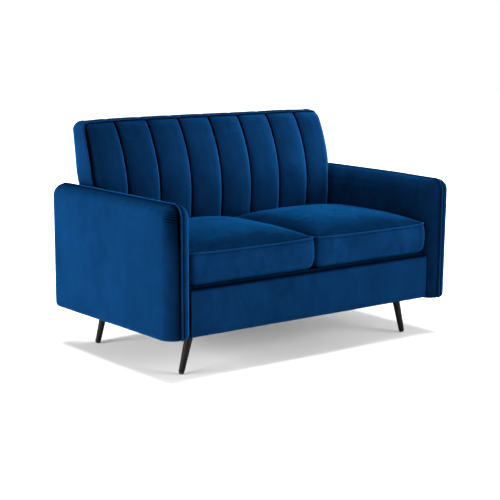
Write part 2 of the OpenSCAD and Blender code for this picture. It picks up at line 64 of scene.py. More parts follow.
ARM_OUT = high("arm_outer_cover_right").x        # outer face of the right arm
ARM_IN = low("arm_inner_cover_right").x          # inner face of the right arm
ARM_MID = (ARM_OUT + ARM_IN) / 2
ARM_FRONT = low("arm_piping_left").y
ARM_BACK = high("arm_piping_left").y
ARM_TOP = high("arm_piping_left").z
UNDER = low("arm_outer_cover_left").z            # underside of the sofa
BASE_X = high("front_rail_cover").x
BASE_FRONT = low("front_rail_cover").y
BASE_BACK = low("back_rear_panel").y + 0.003
DECK = high("deck_pad").z
SOFA_TOP = high("back_piping").z
LUMBAR_Y = low("back_channel_4").y
LUMBAR_Z = 0.552                                 # height of the back's most forward point
CHANNELS = 8
GROOVE = [high(f"back_channel_{i}").x for i in range(1, CHANNELS)]
CUSHION_LOW = low("cushion_piping_right")
CUSHION_HIGH = high("cushion_piping_right")
CUSHION_BOTTOM = low("cushion_cover_right").z
CUSHION_CROWN = high("cushion_cover_right").z

PIPE_R = 0.0031                                  # radius of the piping cord on arms and cushions
BACK_PIPE_R = 0.0024                             # and of the thinner one round the back
CORD_SIDES = 10                                  # facets round a cord


# ---------- small helpers ----------

def smooth(a, b, x):
    """0 below a, 1 above b, and a smooth step between."""
    t = np.clip((x - a) / (b - a), 0, 1)
    return t * t * (3 - 2 * t)


def add_object(name, mesh, body, material, replaces=()):
    piece = bpy.data.objects.new(name, mesh)
    bpy.context.collection.objects.link(piece)
    mesh.materials.clear()
    mesh.materials.append(material)
    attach(piece, body)
    if replaces:
        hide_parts(*replaces)
    return piece


def mesh_from(name, verts, faces, join=0.0):
    """A smooth mesh whose faces all face outwards. Vertices closer than join become one."""
    mesh = bpy.data.meshes.new(name)
    mesh.from_pydata([tuple(v) for v in verts], [], faces)
    mesh.validate()
    bm = bmesh.new()
    bm.from_mesh(mesh)
    if join:
        bmesh.ops.remove_doubles(bm, verts=bm.verts, dist=join)
    bmesh.ops.recalc_face_normals(bm, faces=bm.faces)
    bm.to_mesh(mesh)
    bm.free()
    mesh.shade_smooth()
    return mesh


def grid_faces(rows, cols, wrap=False, start=0):
    """Quads of a grid of vertices, row by row. wrap joins the last column to the first."""
    faces = []
    for r in range(rows - 1):
        for c in range(cols if wrap else cols - 1):
            a = start + r * cols + c
            b = start + r * cols + (c + 1) % cols
            faces.append((a, b, b + cols, a + cols))
    return faces


def slab_faces(rows, cols):
    """Faces of a slab made of two grids, one after the other, joined round their borders."""
    size = rows * cols
    border = list(range(cols)) + [r * cols + cols - 1 for r in range(1, rows)]
    border += [size - 1 - c for c in range(1, cols)] + [(rows - 1 - r) * cols for r in range(1, rows - 1)]
    faces = grid_faces(rows, cols) + grid_faces(rows, cols, start=size)
    for a, b in zip(border, border[1:] + border[:1]):
        faces.append((a, b, size + b, size + a))
    return faces


def tube(name, points, radius, closed=False):
    """A round cord along a list of points, as a closed mesh."""
    pts = [Vector(p) for p in points]
    n, sides = len(pts), CORD_SIDES
    verts, faces = [], []
    side = None
    for i, p in enumerate(pts):
        before = pts[(i - 1) % n] if closed or i else p
        after = pts[(i + 1) % n] if closed or i < n - 1 else p
        along = (after - before).normalized()
        if side is None:
            side = along.orthogonal().normalized()
        side = (side - along * side.dot(along)).normalized()
        other = along.cross(side)
        for k in range(sides):
            a = 2 * math.pi * k / sides
            verts.append(p + radius * (math.cos(a) * side + math.sin(a) * other))
    rings = n if closed else n - 1
    for i in range(rings):
        for k in range(sides):
            a = i * sides + k
            b = i * sides + (k + 1) % sides
            c = ((i + 1) % n) * sides + (k + 1) % sides
            d = ((i + 1) % n) * sides + k
            faces.append((a, b, c, d))
    if not closed:
        faces.append(tuple(range(sides - 1, -1, -1)))
        faces.append(tuple(range((n - 1) * sides, n * sides)))
    return mesh_from(name, verts, faces)


def thicken(piece, thickness):
    """Gives a sheet its cloth thickness, on its inner side."""
    solid = piece.modifiers.new("cloth", "SOLIDIFY")
    solid.thickness = thickness
    solid.offset = -1


def resample(points, step):
    """The same path as points about one step apart."""
    pts = [Vector(p) for p in points]
    length = sum((b - a).length for a, b in zip(pts, pts[1:]))
    count = max(2, round(length / step))
    out, i, gone = [], 0, 0.0
    for k in range(count + 1):
        want = length * k / count
        while i < len(pts) - 2 and gone + (pts[i + 1] - pts[i]).length < want:
            gone += (pts[i + 1] - pts[i]).length
            i += 1
        span = (pts[i + 1] - pts[i]).length
        out.append(pts[i].lerp(pts[i + 1], min(1, (want - gone) / max(span, 1e-9))))
    return out


def paint_shade(mesh, values):
    """Stores for the velvets how far the pile lies in shadow at each vertex: 0 open, 1 in a seam."""
    layer = mesh.attributes.new("shade", "FLOAT", "POINT")
    layer.data.foreach_set("value", np.clip(np.array(values, dtype=np.float32), 0.0, 1.0))


def wander(p, scale, seed=0.0):
    """Smooth noise from about -1 to 1."""
    return noise.noise(Vector((p[0] * scale + seed, p[1] * scale - seed, p[2] * scale + 2 * seed)))


# ---------- materials ----------

class Nodes:
    """A node material with a Principled shader."""

    def __init__(self, name):
        self.material = bpy.data.materials.new(name)
        self.material.use_nodes = True
        self.tree = self.material.node_tree
        self.shader = next(n for n in self.tree.nodes if n.type == "BSDF_PRINCIPLED")
        self.place = self.add("ShaderNodeTexCoord").outputs["Object"]

    def add(self, kind, **values):
        node = self.tree.nodes.new(kind)
        for key, value in values.items():
            setattr(node, key, value)
        return node

    def link(self, a, b):
        self.tree.links.new(a, b)

    def set(self, **values):
        for key, value in values.items():
            self.shader.inputs[key.replace("_", " ")].default_value = value

    def scaled(self, scale):
        node = self.add("ShaderNodeMapping")
        node.inputs["Scale"].default_value = scale
        self.link(self.place, node.inputs["Vector"])
        return node.outputs["Vector"]

    def noise(self, scale, detail=3.0, rough=0.5, vector=None, distortion=0.0):
        node = self.add("ShaderNodeTexNoise")
        node.inputs["Scale"].default_value = scale
        node.inputs["Detail"].default_value = detail
        node.inputs["Roughness"].default_value = rough
        node.inputs["Distortion"].default_value = distortion
        self.link(vector or self.place, node.inputs["Vector"])
        return node.outputs["Fac"]

    def ramp(self, value, stops):
        node = self.add("ShaderNodeValToRGB")
        ramp = node.color_ramp
        while len(ramp.elements) < len(stops):
            ramp.elements.new(0.5)
        for element, (place, colour) in zip(ramp.elements, stops):
            element.position = place
            element.color = (*colour, 1)
        self.link(value, node.inputs["Fac"])
        return node.outputs["Color"]

    def mix(self, kind, factor, a, b):
        node = self.add("ShaderNodeMix", data_type="RGBA", blend_type=kind)
        for socket, value in ((node.inputs[0], factor), (node.inputs[6], a), (node.inputs[7], b)):
            if hasattr(value, "is_output"):
                self.link(value, socket)
            elif isinstance(value, tuple):
                socket.default_value = (*value, 1)
            else:
                socket.default_value = value
        return node.outputs[2]

    def maths(self, operation, a, b):
        node = self.add("ShaderNodeMath", operation=operation)
        for socket, value in ((node.inputs[0], a), (node.inputs[1], b)):
            if hasattr(value, "is_output"):
                self.link(value, socket)
            else:
                socket.default_value = value
        return node.outputs[0]

    def span(self, value, low_out, high_out, reach=(0.0, 1.0)):
        node = self.add("ShaderNodeMapRange")
        node.inputs["From Min"].default_value, node.inputs["From Max"].default_value = reach
        node.inputs["To Min"].default_value = low_out
        node.inputs["To Max"].default_value = high_out
        self.link(value, node.inputs["Value"])
        return node.outputs["Result"]

    def bump(self, height, strength, distance, below=None):
        node = self.add("ShaderNodeBump")
        node.inputs["Strength"].default_value = strength
        node.inputs["Distance"].default_value = distance
        self.link(height, node.inputs["Height"])
        if below is not None:
            self.link(below, node.inputs["Normal"])
        return node.outputs["Normal"]


def velvet(name, nap_and_light=1.0, far_nap_and_light=None, toward=(0, 0, 1), reach=(0.0, 1.0), crushed=0.14):
    """Short-pile velvet: patches where the pile lies another way, fine pile bump and a soft sheen.
    nap_and_light is painted light and shade, partly standing for the pile's nap: how much the colour and
    sheen are scaled where the cloth faces toward, and far_nap_and_light elsewhere, so some faces are
    painted lighter or darker.
    The shade attribute paints shade into seams and grooves. reach is the span of the cosine between them,
    and crushed is how strong the patches are."""
    m = Nodes(name)
    far_nap_and_light = nap_and_light if far_nap_and_light is None else far_nap_and_light
    facing = m.add("ShaderNodeVectorMath", operation="DOT_PRODUCT")
    m.link(m.add("ShaderNodeTexCoord").outputs["Normal"], facing.inputs[0])
    facing.inputs[1].default_value = Vector(toward).normalized()
    shade = m.add("ShaderNodeAttribute", attribute_name="shade")
    unshaded = m.maths("SUBTRACT", 1.0, shade.outputs["Fac"])
    # Painted light and shade: colour and sheen are scaled by which way the surface faces, and darkened
    # where shade is painted.
    lay_and_painted_light = m.maths("MULTIPLY", m.span(facing.outputs["Value"], far_nap_and_light, nap_and_light, reach), unshaded)
    combed = m.noise(11.0, 5.0, 0.65, m.scaled((1.5, 1.5, 1.0)), distortion=0.8)
    lay_and_painted_light = m.maths("MULTIPLY", lay_and_painted_light, m.span(combed, 1 - crushed, 1 + crushed, (0.28, 0.72)))
    patches = m.noise(4.0, 3.0, 0.5, distortion=0.5)
    strokes = m.noise(3.0, 3.0, 0.5, m.scaled((7.0, 7.0, 2.0)))
    pile = m.noise(1500.0, 2.0, 0.6)
    blend = m.maths("ADD", m.maths("MULTIPLY", patches, 0.7), m.maths("MULTIPLY", strokes, 0.3))
    colour = m.ramp(blend, [(0.30, VELVET_DARK), (0.70, VELVET_LIGHT)])
    speckle = m.ramp(pile, [(0.25, (0.72, 0.72, 0.74)), (0.75, (1.0, 1.0, 1.0))])
    brushed = m.add("ShaderNodeVectorMath", operation="SCALE")
    m.link(m.mix("MULTIPLY", 1.0, colour, speckle), brushed.inputs[0])
    m.link(lay_and_painted_light, brushed.inputs["Scale"])
    m.link(brushed.outputs[0], m.shader.inputs["Base Color"])
    m.link(m.maths("MULTIPLY", lay_and_painted_light, SHEEN), m.shader.inputs["Sheen Weight"])
    m.link(m.span(patches, 0.78, 0.95), m.shader.inputs["Roughness"])
    nap_bump = m.bump(pile, 0.35, 0.0006)
    m.link(m.bump(patches, 0.20, 0.002, nap_bump), m.shader.inputs["Normal"])
    m.set(Sheen_Roughness=SHEEN_ROUGH, Sheen_Tint=(*VELVET_SHEEN, 1), Specular_IOR_Level=0.0)
    return m.material


def softwood(name):
    m = Nodes(name)
    grain = m.add("ShaderNodeTexWave", wave_type="RINGS", rings_direction="Y")
    grain.inputs["Scale"].default_value = 9.0
    grain.inputs["Distortion"].default_value = 6.0
    grain.inputs["Detail"].default_value = 3.0
    m.link(m.scaled((1.0, 0.25, 1.0)), grain.inputs["Vector"])
    fibre = m.noise(260.0, 3.0, 0.6, m.scaled((1.0, 0.05, 1.0)))
    colour = m.ramp(grain.outputs["Fac"], [(0.1, (0.48, 0.31, 0.16)), (0.9, (0.68, 0.49, 0.28))])
    m.link(m.mix("MULTIPLY", 0.35, colour, m.ramp(fibre, [(0.2, (0.5, 0.4, 0.3)), (0.8, (1, 1, 1))])),
           m.shader.inputs["Base Color"])
    m.link(m.span(fibre, 0.55, 0.75), m.shader.inputs["Roughness"])
    m.link(m.bump(fibre, 0.3, 0.0004), m.shader.inputs["Normal"])
    return m.material


def black_lacquer(name):
    """Turned wood under satin black lacquer: the grain shows as long fine lines in the gloss."""
    m = Nodes(name)
    grain = m.noise(180.0, 4.0, 0.6, m.scaled((1.0, 1.0, 0.06)))
    wear = m.noise(14.0, 3.0, 0.5)
    colour = m.ramp(m.maths("MULTIPLY", grain, wear), [(0.1, (0.003, 0.003, 0.003)),
                                                       (0.5, (0.009, 0.0085, 0.0085))])
    m.link(colour, m.shader.inputs["Base Color"])
    m.link(m.span(grain, 0.42, 0.56), m.shader.inputs["Roughness"])
    m.link(m.bump(grain, 0.25, 0.0003), m.shader.inputs["Normal"])
    m.set(Specular_IOR_Level=0.06)
    return m.material


def foam(name):
    m = Nodes(name)
    cells = m.add("ShaderNodeTexVoronoi")
    cells.inputs["Scale"].default_value = 700.0
    m.link(m.place, cells.inputs["Vector"])
    patches = m.noise(12.0, 3.0)
    colour = m.ramp(patches, [(0.3, (0.78, 0.70, 0.42)), (0.7, (0.86, 0.80, 0.56))])
    m.link(colour, m.shader.inputs["Base Color"])
    m.link(m.span(patches, 0.85, 0.97), m.shader.inputs["Roughness"])
    m.link(m.bump(cells.outputs["Distance"], 0.5, 0.0008), m.shader.inputs["Normal"])
    return m.material


def non_woven(name):
    m = Nodes(name)
    fibre = m.noise(900.0, 4.0, 0.7)
    colour = m.ramp(fibre, [(0.3, (0.008, 0.008, 0.009)), (0.7, (0.035, 0.035, 0.038))])
    m.link(colour, m.shader.inputs["Base Color"])
    m.link(m.span(fibre, 0.8, 0.95), m.shader.inputs["Roughness"])
    m.link(m.bump(fibre, 0.4, 0.0004), m.shader.inputs["Normal"])
    return m.material


def woven_tape(name, dark, light, scale):
    m = Nodes(name)
    warp = m.add("ShaderNodeTexWave", bands_direction="X")
    weft = m.add("ShaderNodeTexWave", bands_direction="Z")
    for wave in (warp, weft):
        wave.inputs["Scale"].default_value = scale
        m.link(m.place, wave.inputs["Vector"])
    weave = m.maths("MULTIPLY", warp.outputs["Fac"], weft.outputs["Fac"])
    m.link(m.ramp(weave, [(0.1, dark), (0.9, light)]), m.shader.inputs["Base Color"])
    m.link(m.span(weave, 0.7, 0.9), m.shader.inputs["Roughness"])
    m.link(m.bump(weave, 0.5, 0.0005), m.shader.inputs["Normal"])
    return m.material


def metal(name, dark, light, rough, metallic=1.0):
    m = Nodes(name)
    drawn = m.noise(400.0, 3.0, 0.6, m.scaled((0.05, 1.0, 1.0)))
    marks = m.noise(30.0, 4.0, 0.6)
    m.link(m.ramp(marks, [(0.3, dark), (0.7, light)]), m.shader.inputs["Base Color"])
    m.link(m.span(drawn, rough - 0.08, rough + 0.1), m.shader.inputs["Roughness"])
    m.link(m.bump(drawn, 0.2, 0.0002), m.shader.inputs["Normal"])
    m.set(Metallic=metallic)
    return m.material


def nylon(name):
    m = Nodes(name)
    pits = m.noise(600.0, 3.0, 0.6)
    colour = m.ramp(pits, [(0.3, (0.008, 0.008, 0.008)), (0.7, (0.02, 0.02, 0.02))])
    m.link(colour, m.shader.inputs["Base Color"])
    m.link(m.span(pits, 0.45, 0.65), m.shader.inputs["Roughness"])
    m.link(m.bump(pits, 0.3, 0.0003), m.shader.inputs["Normal"])
    return m.material


VELVET_DARK = (0.0013, 0.011, 0.038)
VELVET_LIGHT = (0.0020, 0.018, 0.060)
VELVET_SHEEN = (0.012, 0.24, 0.74)
SHEEN = 0.75
SHEEN_ROUGH = 0.40
VELVET = velvet("velvet")
# Painted shade: the rail's velvet is dark wherever it turns away from the front, on its top under the
# cushions and on the deck pad.
RAIL_VELVET = velvet("rail_velvet", 0.85, 0.10, (0, -1, -0.1), (0.70, 1.0), 0.18)
# Painted light: each channel's velvet is a little brighter than the one to its left, and each is lighter on
# faces turned to the right front.
CHANNEL_LIT_VELVETS = [velvet(f"channel_velvet_{i + 1}", 0.98 + 0.10 * i, 0.56 + 0.10 * i, (0.75, -0.66, 0))
                   for i in range(CHANNELS)]
# Painted shade: the cushion tops are painted darker than their fronts.
CUSHION_VELVET = velvet("cushion_velvet", 0.91, 0.44, (0, -1, 0), (0.4, 1.0), 0.27)
# Painted light and shade: the back's band is light where it faces left and dark on its top and right side.
BAND_VELVET = velvet("band_velvet", 1.12, 0.10, (-1, 0, 0))
PIPING = velvet("piping_velvet", 1.0)
# Lit and shaded copies of the velvet, one per arm panel: painted light on the left arm's outside, painted
# shade on the right arm's inside, each lighter or darker by which way it faces.
SIDE_SHADED_VELVET = {
    ("left", "outer"): velvet("left_arm_outer_velvet", 0.93, 0.14, (-1, -0.13, -0.32)),
    ("left", "inner"): velvet("left_arm_inner_velvet", 0.70, 0.10, (0.5, -0.8, 0)),
    ("right", "inner"): velvet("right_arm_inner_velvet", 0.65, 0.52, (0, -0.30, 0.95), (0.05, 1.0), 0.22),
    ("right", "outer"): velvet("right_arm_outer_velvet", 0.50, 0.26, (0.7, -0.7, 0)),
}
SLOT_MATERIALS = {
    "velvet": VELVET,
    "piping": PIPING,
    "timber": softwood("softwood"),
    "leg_wood": black_lacquer("black_lacquer"),
    "foam": foam("upholstery_foam"),
    "dust_cloth": non_woven("dust_cloth"),
    "webbing": woven_tape("elastic_strap", (0.01, 0.01, 0.011), (0.06, 0.06, 0.065), 320.0),
    "spring_steel": metal("spring_steel", (0.30, 0.31, 0.33), (0.45, 0.46, 0.48), 0.36),
    "fastener_steel": metal("zinc_plate", (0.42, 0.43, 0.45), (0.58, 0.59, 0.60), 0.30),
    "plate_steel": metal("powder_coat", (0.010, 0.010, 0.011), (0.022, 0.022, 0.023), 0.50, 0.0),
    "glide": nylon("black_nylon"),
    "zip_tape": woven_tape("zip_tape", (0.003, 0.010, 0.035), (0.008, 0.030, 0.090), 900.0),
    "zip_metal": metal("dark_nickel", (0.10, 0.10, 0.11), (0.20, 0.20, 0.21), 0.30),
}


def dress_cad_nodes():
    """Every CAD node that stays gets its slot's material."""
    slots = {s["node"]: s["material_slot"] for s in frame["record"]["subparts"]}
    for node, piece in frame["nodes"].items():
        material = SLOT_MATERIALS[slots[node]]
        for place in piece.material_slots:
            place.material = material


# ---------- arms ----------

ARM_R = (ARM_OUT - ARM_IN) / 2                   # the half-round edge's radius
SEAM_CORNER = 0.044                              # radius of the seam at the arm's top front corner
REAR_CORNER = 0.044                              # and at its top rear corner
SEAM_SINK = 0.0022                               # how deep the seam sits under the piping's outside
FOOT_CORNER = 0.014                              # radius at the arm's two bottom corners
LEAN = 0.0075                                    # how far the right arm leans out at its top
ARM_PUFF = 0.0035                                # swell of an arm's flat faces


def arm_loop(inset, bottom_inset):
    """The arm's outline in Y, Z at some inset, with two large top corners. The count of points is fixed."""
    w = (ARM_BACK - ARM_FRONT) / 2 - SEAM_SINK - inset
    top = ARM_TOP - SEAM_SINK - inset
    bottom = UNDER + bottom_inset
    r = max(SEAM_CORNER - inset, 0.004)
    rear = max(REAR_CORNER - inset, 0.004)
    rb = FOOT_CORNER
    n_side, n_top = 120, round((ARM_BACK - ARM_FRONT) / 0.008)
    loop = []

    def line(a, b, n, crowd=lambda t: t):
        """n points from a on towards b. crowd moves them closer together near one end."""
        for i in range(n):
            t = crowd(i / n)
            loop.append((a[0] + (b[0] - a[0]) * t, a[1] + (b[1] - a[1]) * t))

    def corner(cy, cz, radius, start, n):
        for i in range(n):
            a = math.radians(start - 90 * i / n)
            loop.append((cy + radius * math.cos(a), cz + radius * math.sin(a)))

    line((-w, bottom + rb), (-w, top - r), n_side, lambda t: 1 - (1 - t) ** 1.8)
    corner(-w + r, top - r, r, 180, 24)
    line((-w + r, top), (w - rear, top), n_top)
    corner(w - rear, top - rear, rear, 90, 24)
    line((w, top - rear), (w, bottom + rb), n_side, lambda t: t ** 1.8)
    corner(w - rb, bottom + rb, rb, 0, 8)
    line((w - rb, bottom), (-w + rb, bottom), n_top)
    corner(-w + rb, bottom + rb, rb, 270, 8)
    return loop


def arm_droop(side, y, z):
    """The arm's top sinks a little towards its rear corner, and the right arm's towards its front too."""
    near_top = float(smooth(ARM_TOP - 0.15, ARM_TOP, z))
    front = 0.0035 * float(smooth(-0.10, -0.36, y)) if side > 0 else 0.0
    return near_top * (0.0020 * float(smooth(0.20, 0.39, y)) + front)


def hang(side, y, z):
    """The padding hangs a little under the arm's frame, most on the right arm and towards the rear."""
    low = 0.0085 if side > 0 else 0.0030 + 0.0035 * float(smooth(-0.30, 0.30, y))
    return low * float(smooth(UNDER + 0.10, UNDER, z))


def lean_out(side, z):
    """The right arm stands a little outwards at its top."""
    return LEAN * (z - UNDER) / (ARM_TOP - UNDER) if side > 0 else 0.0


def gathers(y, z, depth, end, outer):
    """Gathers where a panel is eased round the arm's top corners: 0 on a fold, 1 down in a groove."""
    if (y > ARM_FRONT + 0.075) if end < 0 else (y < ARM_BACK - 0.075):
        return 0.0
    drop = ARM_TOP - z
    if outer and end < 0:
        reach = math.exp(-((depth - 0.012) / 0.027) ** 2)
        band = math.exp(-((drop - 0.045) / 0.019) ** 2)
        return reach * band * (0.5 + 0.5 * math.cos(2 * math.pi * (drop + 0.20 * depth) / 0.0085))
    cy = end * ((ARM_BACK - ARM_FRONT) / 2 - SEAM_CORNER)
    angle = math.atan2(z - (ARM_TOP - SEAM_CORNER), (y - cy) * end)
    near = math.exp(-((angle - 0.75) / 0.55) ** 2)
    reach = math.exp(-((depth - 0.014) / 0.016) ** 2)
    return 0.5 * near * reach * (0.5 + 0.5 * math.cos(angle * 24 + 2 * math.sin(3 * angle)))


def arm_shade(y, z, depth, fold, outer, side):
    """Painted shade: dark in the seam beside the piping and in the gathers, and darker on the outer panel
    round its front edge, most of all under the top corner, partly where the pile turns away there."""
    shade = (0.70 if outer == (side < 0) else 0.50) * math.exp(-(depth / 0.0022) ** 2) + 0.45 * fold
    if outer and side < 0 and y < ARM_FRONT + 0.08 and z < ARM_TOP - 0.02:
        corner = math.exp(-((ARM_TOP - 0.075 - z) / 0.075) ** 2)
        shade += (0.08 + 0.50 * corner) * math.exp(-(depth / (0.020 + 0.014 * corner)) ** 2)
    return shade


def make_arm(side, outer):
    """One panel of an arm: half of the slab, closed along its middle plane."""
    hand = "left" if side < 0 else "right"
    face = "outer" if outer else "inner"
    out = side if outer else -side                # the way the panel faces
    edge_steps, flat_steps = 26, 16
    rings, verts = [], []
    for i in range(edge_steps + 1):
        phi = math.pi / 2 * (i / edge_steps) ** 1.25
        rings.append((ARM_R * (1 - math.cos(phi)), 0.0015 * (1 - math.cos(phi)), ARM_R * math.sin(phi)))
    base = arm_loop(0, 0)
    count = len(base)
    flat_edge = arm_loop(rings[-1][0], rings[-1][1])
    mid_z = (ARM_TOP + UNDER) / 2
    span_y = (ARM_BACK - ARM_FRONT) / 2 - ARM_R
    seed = 3.1 * side + (1.7 if outer else 0.4)
    shade = []

    def place(y, z, x, depth):
        puff = ARM_PUFF * math.cos(math.pi / 2 * min(1, abs(y) / span_y)) if depth >= ARM_R else 0.0
        ripple = 0.0011 * wander((0, y, z), 7.0, seed) + 0.0005 * wander((0, y, z), 22.0, seed)
        fade = smooth(0.0, 0.03, depth) * smooth(0.0, 0.05, z - UNDER)
        x += (puff + ripple) * fade
        fold = gathers(y, z, depth, -1 if y < 0 else 1, outer)
        shade.append(arm_shade(y, z, depth, fold, outer, side))
        pinch = -0.0036 * fold
        lean = min(1.0, x / ARM_R)
        crease = 0.0040 * math.exp(-(x / 0.0045) ** 2)
        if abs(y) > span_y - 0.02:
            y -= math.copysign(crease - pinch * math.sqrt(1 - lean * lean), y)
        z -= crease if z > ARM_TOP - 0.06 else 0.0
        shift = lean_out(side, z)
        x *= 1 + (0.6 if outer else 1.0) * shift / ARM_R
        drop = arm_droop(side, y, z) + hang(side, y, z)
        return (side * (ARM_MID + shift) + out * (x + pinch * lean), y, z - drop)

    for inset, low_inset, x in rings:
        for y, z in arm_loop(inset, low_inset):
            verts.append(place(y, z, x, inset))
    for k in range(1, flat_steps + 1):
        t = k / flat_steps
        for y, z in flat_edge:
            ty, tz = y * 0.55, mid_z + (z - mid_z) * 0.04
            verts.append(place(y + (ty - y) * t, z + (tz - z) * t, ARM_R, ARM_R + 0.05 * t))
    faces = grid_faces(edge_steps + 1 + flat_steps, count, wrap=True)
    last = (edge_steps + flat_steps) * count
    faces.append(tuple(range(last, last + count)))
    faces.append(tuple(range(count - 1, -1, -1)))
    name = f"arm_{face}_panel_{hand}"
    mesh = mesh_from(name, verts, faces)
    paint_shade(mesh, shade)
    nap_and_light = SIDE_SHADED_VELVET[hand, face]
    hidden = [f"arm_{face}_cover_{hand}"] + ([f"arm_foam_{hand}"] if outer else [])
    piece = add_object(name, mesh, "frame", nap_and_light, hidden)


def make_arm_piping(side):
    hand = "left" if side < 0 else "right"
    w = (ARM_BACK - ARM_FRONT) / 2 - PIPE_R
    top = ARM_TOP - PIPE_R
    r, rear = SEAM_CORNER + SEAM_SINK - PIPE_R, REAR_CORNER + SEAM_SINK - PIPE_R
    points = [(-w, UNDER + 0.002), (-w, top - r)]
    points += [(-w + r - r * math.cos(a), top - r + r * math.sin(a))
               for a in np.linspace(0, math.pi / 2, 12)[1:]]
    points += [(w - rear + rear * math.sin(a), top - rear + rear * math.cos(a))
               for a in np.linspace(0, math.pi / 2, 12)]
    points += [(w, UNDER + 0.002)]
    path = resample([(side * ARM_MID, y, z) for y, z in points], 0.008)
    path = [p + Vector((lean_out(side, p.z) + 0.0010 * wander(p, 6.0, side), 0,
                        -arm_droop(side, p.y, p.z) - hang(side, p.y, p.z))) for p in path]
    name = f"arm_piping_cord_{hand}"
    add_object(name, tube(name, path, PIPE_R), "frame", PIPING, [f"arm_piping_{hand}"])


# ---------- back ----------

SIDE_X = ARM_IN + 0.0085                         # side of the back, above the arms
TOP_CORNER = 0.030                               # radius of the back's top corners, seen from the front
REAR_EDGE = (0.008, 0.024)                       # how far the band rolls on to the back: sides, top
REAR_PUFF = 0.0030                               # swell of the outside back
GROOVE_DEPTH = 0.027                             # from a channel's crest to the groove beside it
PAD_TOP = SOFA_TOP - 0.005
UP_BEND = (0.287 - 0.193) / (SOFA_TOP - 0.006 - LUMBAR_Z) ** 2
DOWN_BEND = 0.55
RAKE_Z = 0.480
RAKE = math.tan(math.radians(7.2))
SIDE_SEAM = ((0.30, 0.48, 0.616, 0.689, 0.744, 0.800, 0.840),      # heights of the side seam's points
             (0.235, 0.228, 0.240, 0.254, 0.271, 0.288, 0.300))    # and their places in Y


def crest_y(z):
    """The most forward line of the channels, seen from the side."""
    return LUMBAR_Y + (UP_BEND if z > LUMBAR_Z else DOWN_BEND) * (z - LUMBAR_Z) ** 2


def rear_y(z):
    """The outside back, upright below and raked above with a soft bend between."""
    return BASE_BACK + 0.010 + 0.018 * math.log1p(math.exp((z - RAKE_Z) / 0.018)) * RAKE


def back_width(z):
    """Half the back's width: it swells over the arms' round tops."""
    return BASE_X + (SIDE_X - BASE_X) * float(smooth(ARM_TOP - 0.05, ARM_TOP + 0.03, z))


def rounded_width(z):
    """Half the back's width, with its top corners rounded."""
    over = max(0.0, z - (SOFA_TOP - TOP_CORNER))
    return back_width(z) - TOP_CORNER + math.sqrt(max(0.0, TOP_CORNER ** 2 - over ** 2))


def droop(x, z):
    """The top edge sinks a little towards the corners and at each channel seam."""
    near_top = float(smooth(SOFA_TOP - 0.06, SOFA_TOP, z))
    ends = 0.0035 * float(smooth(0.42, 0.53, abs(x))) + 0.0035 * float(smooth(-0.25, 0.35, x))
    seams = 0.0022 * sum(math.exp(-((x - g) / 0.012) ** 2) for g in GROOVE)
    return near_top * (ends + seams)


def side_seam_y(z):
    """The seam between the outer channel and the side band."""
    return float(np.interp(z, *SIDE_SEAM))


def top_seam_y():
    return crest_y(PAD_TOP) + 0.020


def channel_front(i, u, z):
    """Y of channel i's surface. u runs from -1 to 1 across it."""
    crest = crest_y(z)
    depth = GROOVE_DEPTH
    if (i == 0 and u < 0) or (i == CHANNELS - 1 and u > 0):
        y = crest + (side_seam_y(z) - crest) * (1 - (1 - abs(u) ** 3.4) ** 0.5)
    else:
        y = crest + depth * (1 - (1 - abs(u) ** 2.1) ** 0.55)
    close = max(0.0, 1 - (PAD_TOP - z) / 0.030)
    y += max(0.0, top_seam_y() - y) * (1 - (1 - close ** 2.4) ** 0.6)
    gather = math.exp(-((PAD_TOP - z - 0.045) / 0.035) ** 2)
    lines = math.sin(2 * math.pi * (z + 0.006 * math.sin(3 * u + i)) / 0.017)
    ripple = 0.0007 * gather * lines * (0.35 + 0.65 * abs(u))
    crease = 0.0016 * wander((u * 0.5 + i, z * 1.6, 0.0), 4.0, i)
    crease += 0.0006 * wander((u + i, z * 6, 0.0), 4.0, i)
    return y + (ripple + crease) * (1 - u ** 4) * (1 - close)


def make_channel(i):
    """One filled channel: its rounded front, closed by a flat back inside the sofa."""
    bottom, top = DECK + 0.001, PAD_TOP
    cols, rows = 45, 110
    verts, shade = [], []
    zs = [bottom + (top - bottom) * (1 - (1 - r / (rows - 1)) ** 1.6) for r in range(rows)]

    def edges(z):
        left = -rounded_width(z) if i == 0 else GROOVE[i - 1]
        right = rounded_width(z) if i == CHANNELS - 1 else GROOVE[i]
        return left, right

    for z in zs:
        left, right = edges(z)
        for c in range(cols):
            s = -math.cos(math.pi * c / (cols - 1))
            u = 0.75 * s + 0.25 * (2 * c / (cols - 1) - 1)
            x = (left + right) / 2 + (right - left) / 2 * u
            verts.append((x, channel_front(i, u, z), z - droop(x, z)))
            # Painted shade: dark in the grooves and under the top seam, and darker towards the top; the
            # hidden back gets full shade.
            groove = 0.90 * float(smooth(0.88, 0.99, abs(u)))
            seam = 0.90 * float(smooth(PAD_TOP - 0.007, PAD_TOP, z))
            shade.append(groove + seam + 0.34 * float(smooth(0.60, PAD_TOP, z)))
    front = rows * cols
    for z in zs:
        left, right = edges(z)
        y = crest_y(z) + GROOVE_DEPTH + 0.010
        if i in (0, CHANNELS - 1):
            y = max(y, side_seam_y(z) + 0.004)
        verts.append((left + (0.006 if i == 0 else 0), y, z - 0.004))
        verts.append((right - (0.006 if i == CHANNELS - 1 else 0), y, z - 0.004))
    faces = grid_faces(rows, cols)
    for r in range(rows - 1):
        a, b = r * cols, (r + 1) * cols
        c, d = front + 2 * r, front + 2 * r + 2
        faces.append((a, b, d, c))
        faces.append((a + cols - 1, c + 1, d + 1, b + cols - 1))
        faces.append((c, d, d + 1, c + 1))
    faces.append(tuple(range(cols)) + (front + 1, front))
    last = front + 2 * rows
    faces.append(tuple(range((rows - 1) * cols, rows * cols)) + (last - 1, last - 2))
    name = f"back_channel_pad_{i + 1}"
    mesh = mesh_from(name, verts, faces)
    paint_shade(mesh, shade + [1.0] * (2 * rows))
    piece = add_object(name, mesh, "frame", CHANNEL_LIT_VELVETS[i], [f"back_channel_{i + 1}"])


